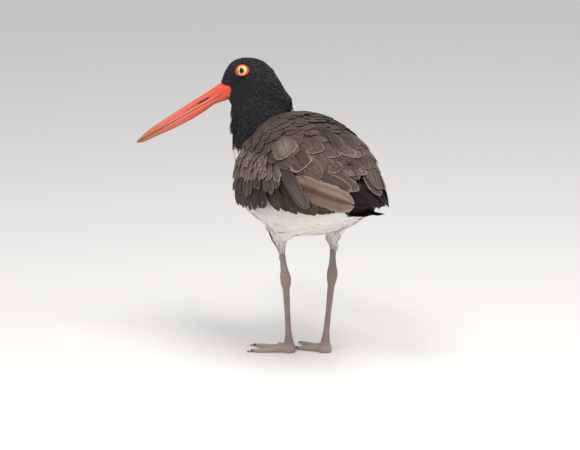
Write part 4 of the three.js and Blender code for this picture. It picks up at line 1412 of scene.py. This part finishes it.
class OYSTERCATCHER_OT_claws(bpy.types.Operator):
    """Build the claws"""

    bl_idname = "oystercatcher.claws"
    bl_label = "Claws"

    def execute(self, context):
        for name in LEGS:
            for toe in TOES:
                build_claw(f"{name}_claw_{toe}")
        return {"FINISHED"}


# Each lamp: how far to the right of the view, up across it, towards the camera and above the floor, then its
# size, all in metres, and its power. The glint hangs over the lens, and the wet eye mirrors it near its top.
LAMPS = {
    "key": ((0.5, 0, 0.5, 1.5), 0.9, 20),
    "fill": ((-0.9, 0, 1.6, 0), 1.6, 2.5),
    "glint": ((-0.2, 0.85, 0.75, 0), 0.3, 4.5),
}
LAMP_AIM = (0, 0, 0.15)
FLOOR_REACH = 6.0  # metres from the middle of the floor to its sides


def area_light(name, location, target, size, power):
    """A soft square light aimed at a point."""
    data = bpy.data.lights.new(name, "AREA")
    data.size = size
    data.energy = power
    light = bpy.data.objects.new(name, data)
    light.location = location
    light.rotation_euler = (Vector(target) - Vector(location)).to_track_quat("-Z", "Y").to_euler()
    bpy.context.scene.collection.objects.link(light)


class OYSTERCATCHER_OT_stage(bpy.types.Operator):
    """Set the pale floor, the soft lights and the camera at the photograph's view"""

    bl_idname = "oystercatcher.stage"
    bl_label = "Stage"

    def execute(self, context):
        turn, rise = math.radians(VIEW_AZIMUTH), math.radians(VIEW_ELEVATION)
        level = np.array([math.sin(turn), -math.cos(turn), 0])
        back = level * math.cos(rise) + UP * math.sin(rise)
        right = np.array([math.cos(turn), math.sin(turn), 0])
        up = np.cross(back, right)
        off = (np.array(IMAGE_SIZE) / 2 - ORIGIN_PIXEL) * MM_PER_PIXEL
        centre = right * off[0] - up * off[1]
        data = bpy.data.cameras.new("camera")
        data.sensor_width = SENSOR
        data.lens = SENSOR * VIEW_DISTANCE / (IMAGE_SIZE[0] * MM_PER_PIXEL)
        data.clip_end = 100
        camera = bpy.data.objects.new("camera", data)
        camera.location = onto_solids(centre + back * VIEW_DISTANCE)
        camera.rotation_euler = (-Vector(back)).to_track_quat("-Z", "Y").to_euler()
        context.scene.collection.objects.link(camera)
        context.scene.camera = camera

        corners = [(x * FLOOR_REACH, y * FLOOR_REACH, 0) for x, y in ((-1, -1), (1, -1), (1, 1), (-1, 1))]
        mesh = bpy.data.meshes.new("floor")
        mesh.from_pydata(corners, [], [(0, 1, 2, 3)])
        floor = bpy.data.objects.new("floor", mesh)
        context.scene.collection.objects.link(floor)
        mesh.materials.append(studio_paint())

        for name, (place, size, power) in LAMPS.items():
            area_light(name, tuple(np.dot(place, [right, up, back, UP])), LAMP_AIM, size, power)
        world = bpy.data.worlds.new("studio")
        world.use_nodes = True
        background = world.node_tree.nodes["Background"]
        background.inputs["Color"].default_value = (0.9, 0.93, 1.0, 1)
        background.inputs["Strength"].default_value = 0.68
        context.scene.world = world
        context.scene.view_settings.view_transform = "Standard"
        return {"FINISHED"}


class OYSTERCATCHER_PT_panel(bpy.types.Panel):
    """Lists the bird's pieces in the order they are built"""

    bl_label = "Oystercatcher"
    bl_idname = "OYSTERCATCHER_PT_panel"
    bl_space_type = "VIEW_3D"
    bl_region_type = "UI"
    bl_category = "Oystercatcher"

    def draw(self, context):
        for operator in OPERATORS:
            self.layout.operator(operator.bl_idname)
        for name in OystercatcherLooks.__annotations__:
            self.layout.prop(looks_of(context), name)


OPERATORS = [
    OYSTERCATCHER_OT_stage,
    OYSTERCATCHER_OT_coat,
    OYSTERCATCHER_OT_wings,
    OYSTERCATCHER_OT_tail,
    OYSTERCATCHER_OT_bill,
    OYSTERCATCHER_OT_eyes,
    OYSTERCATCHER_OT_legs,
    OYSTERCATCHER_OT_claws,
]
CLASSES = [OystercatcherLooks, *OPERATORS, OYSTERCATCHER_PT_panel]


def register():
    """Registers the classes and the bird's sizes and colours."""
    for cls in CLASSES:
        bpy.utils.register_class(cls)
    bpy.types.Scene.oystercatcher_looks = PointerProperty(type=OystercatcherLooks)


def unregister():
    """Takes the classes, the sizes and the colours away again."""
    del bpy.types.Scene.oystercatcher_looks
    for cls in reversed(CLASSES):
        bpy.utils.unregister_class(cls)


def main():
    """Builds the bird and its stage."""
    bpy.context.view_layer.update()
    register()
    for operator in OPERATORS:
        category, name = operator.bl_idname.split(".")
        getattr(getattr(bpy.ops, category), name)()
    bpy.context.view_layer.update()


if __name__ == "__main__":
    main()
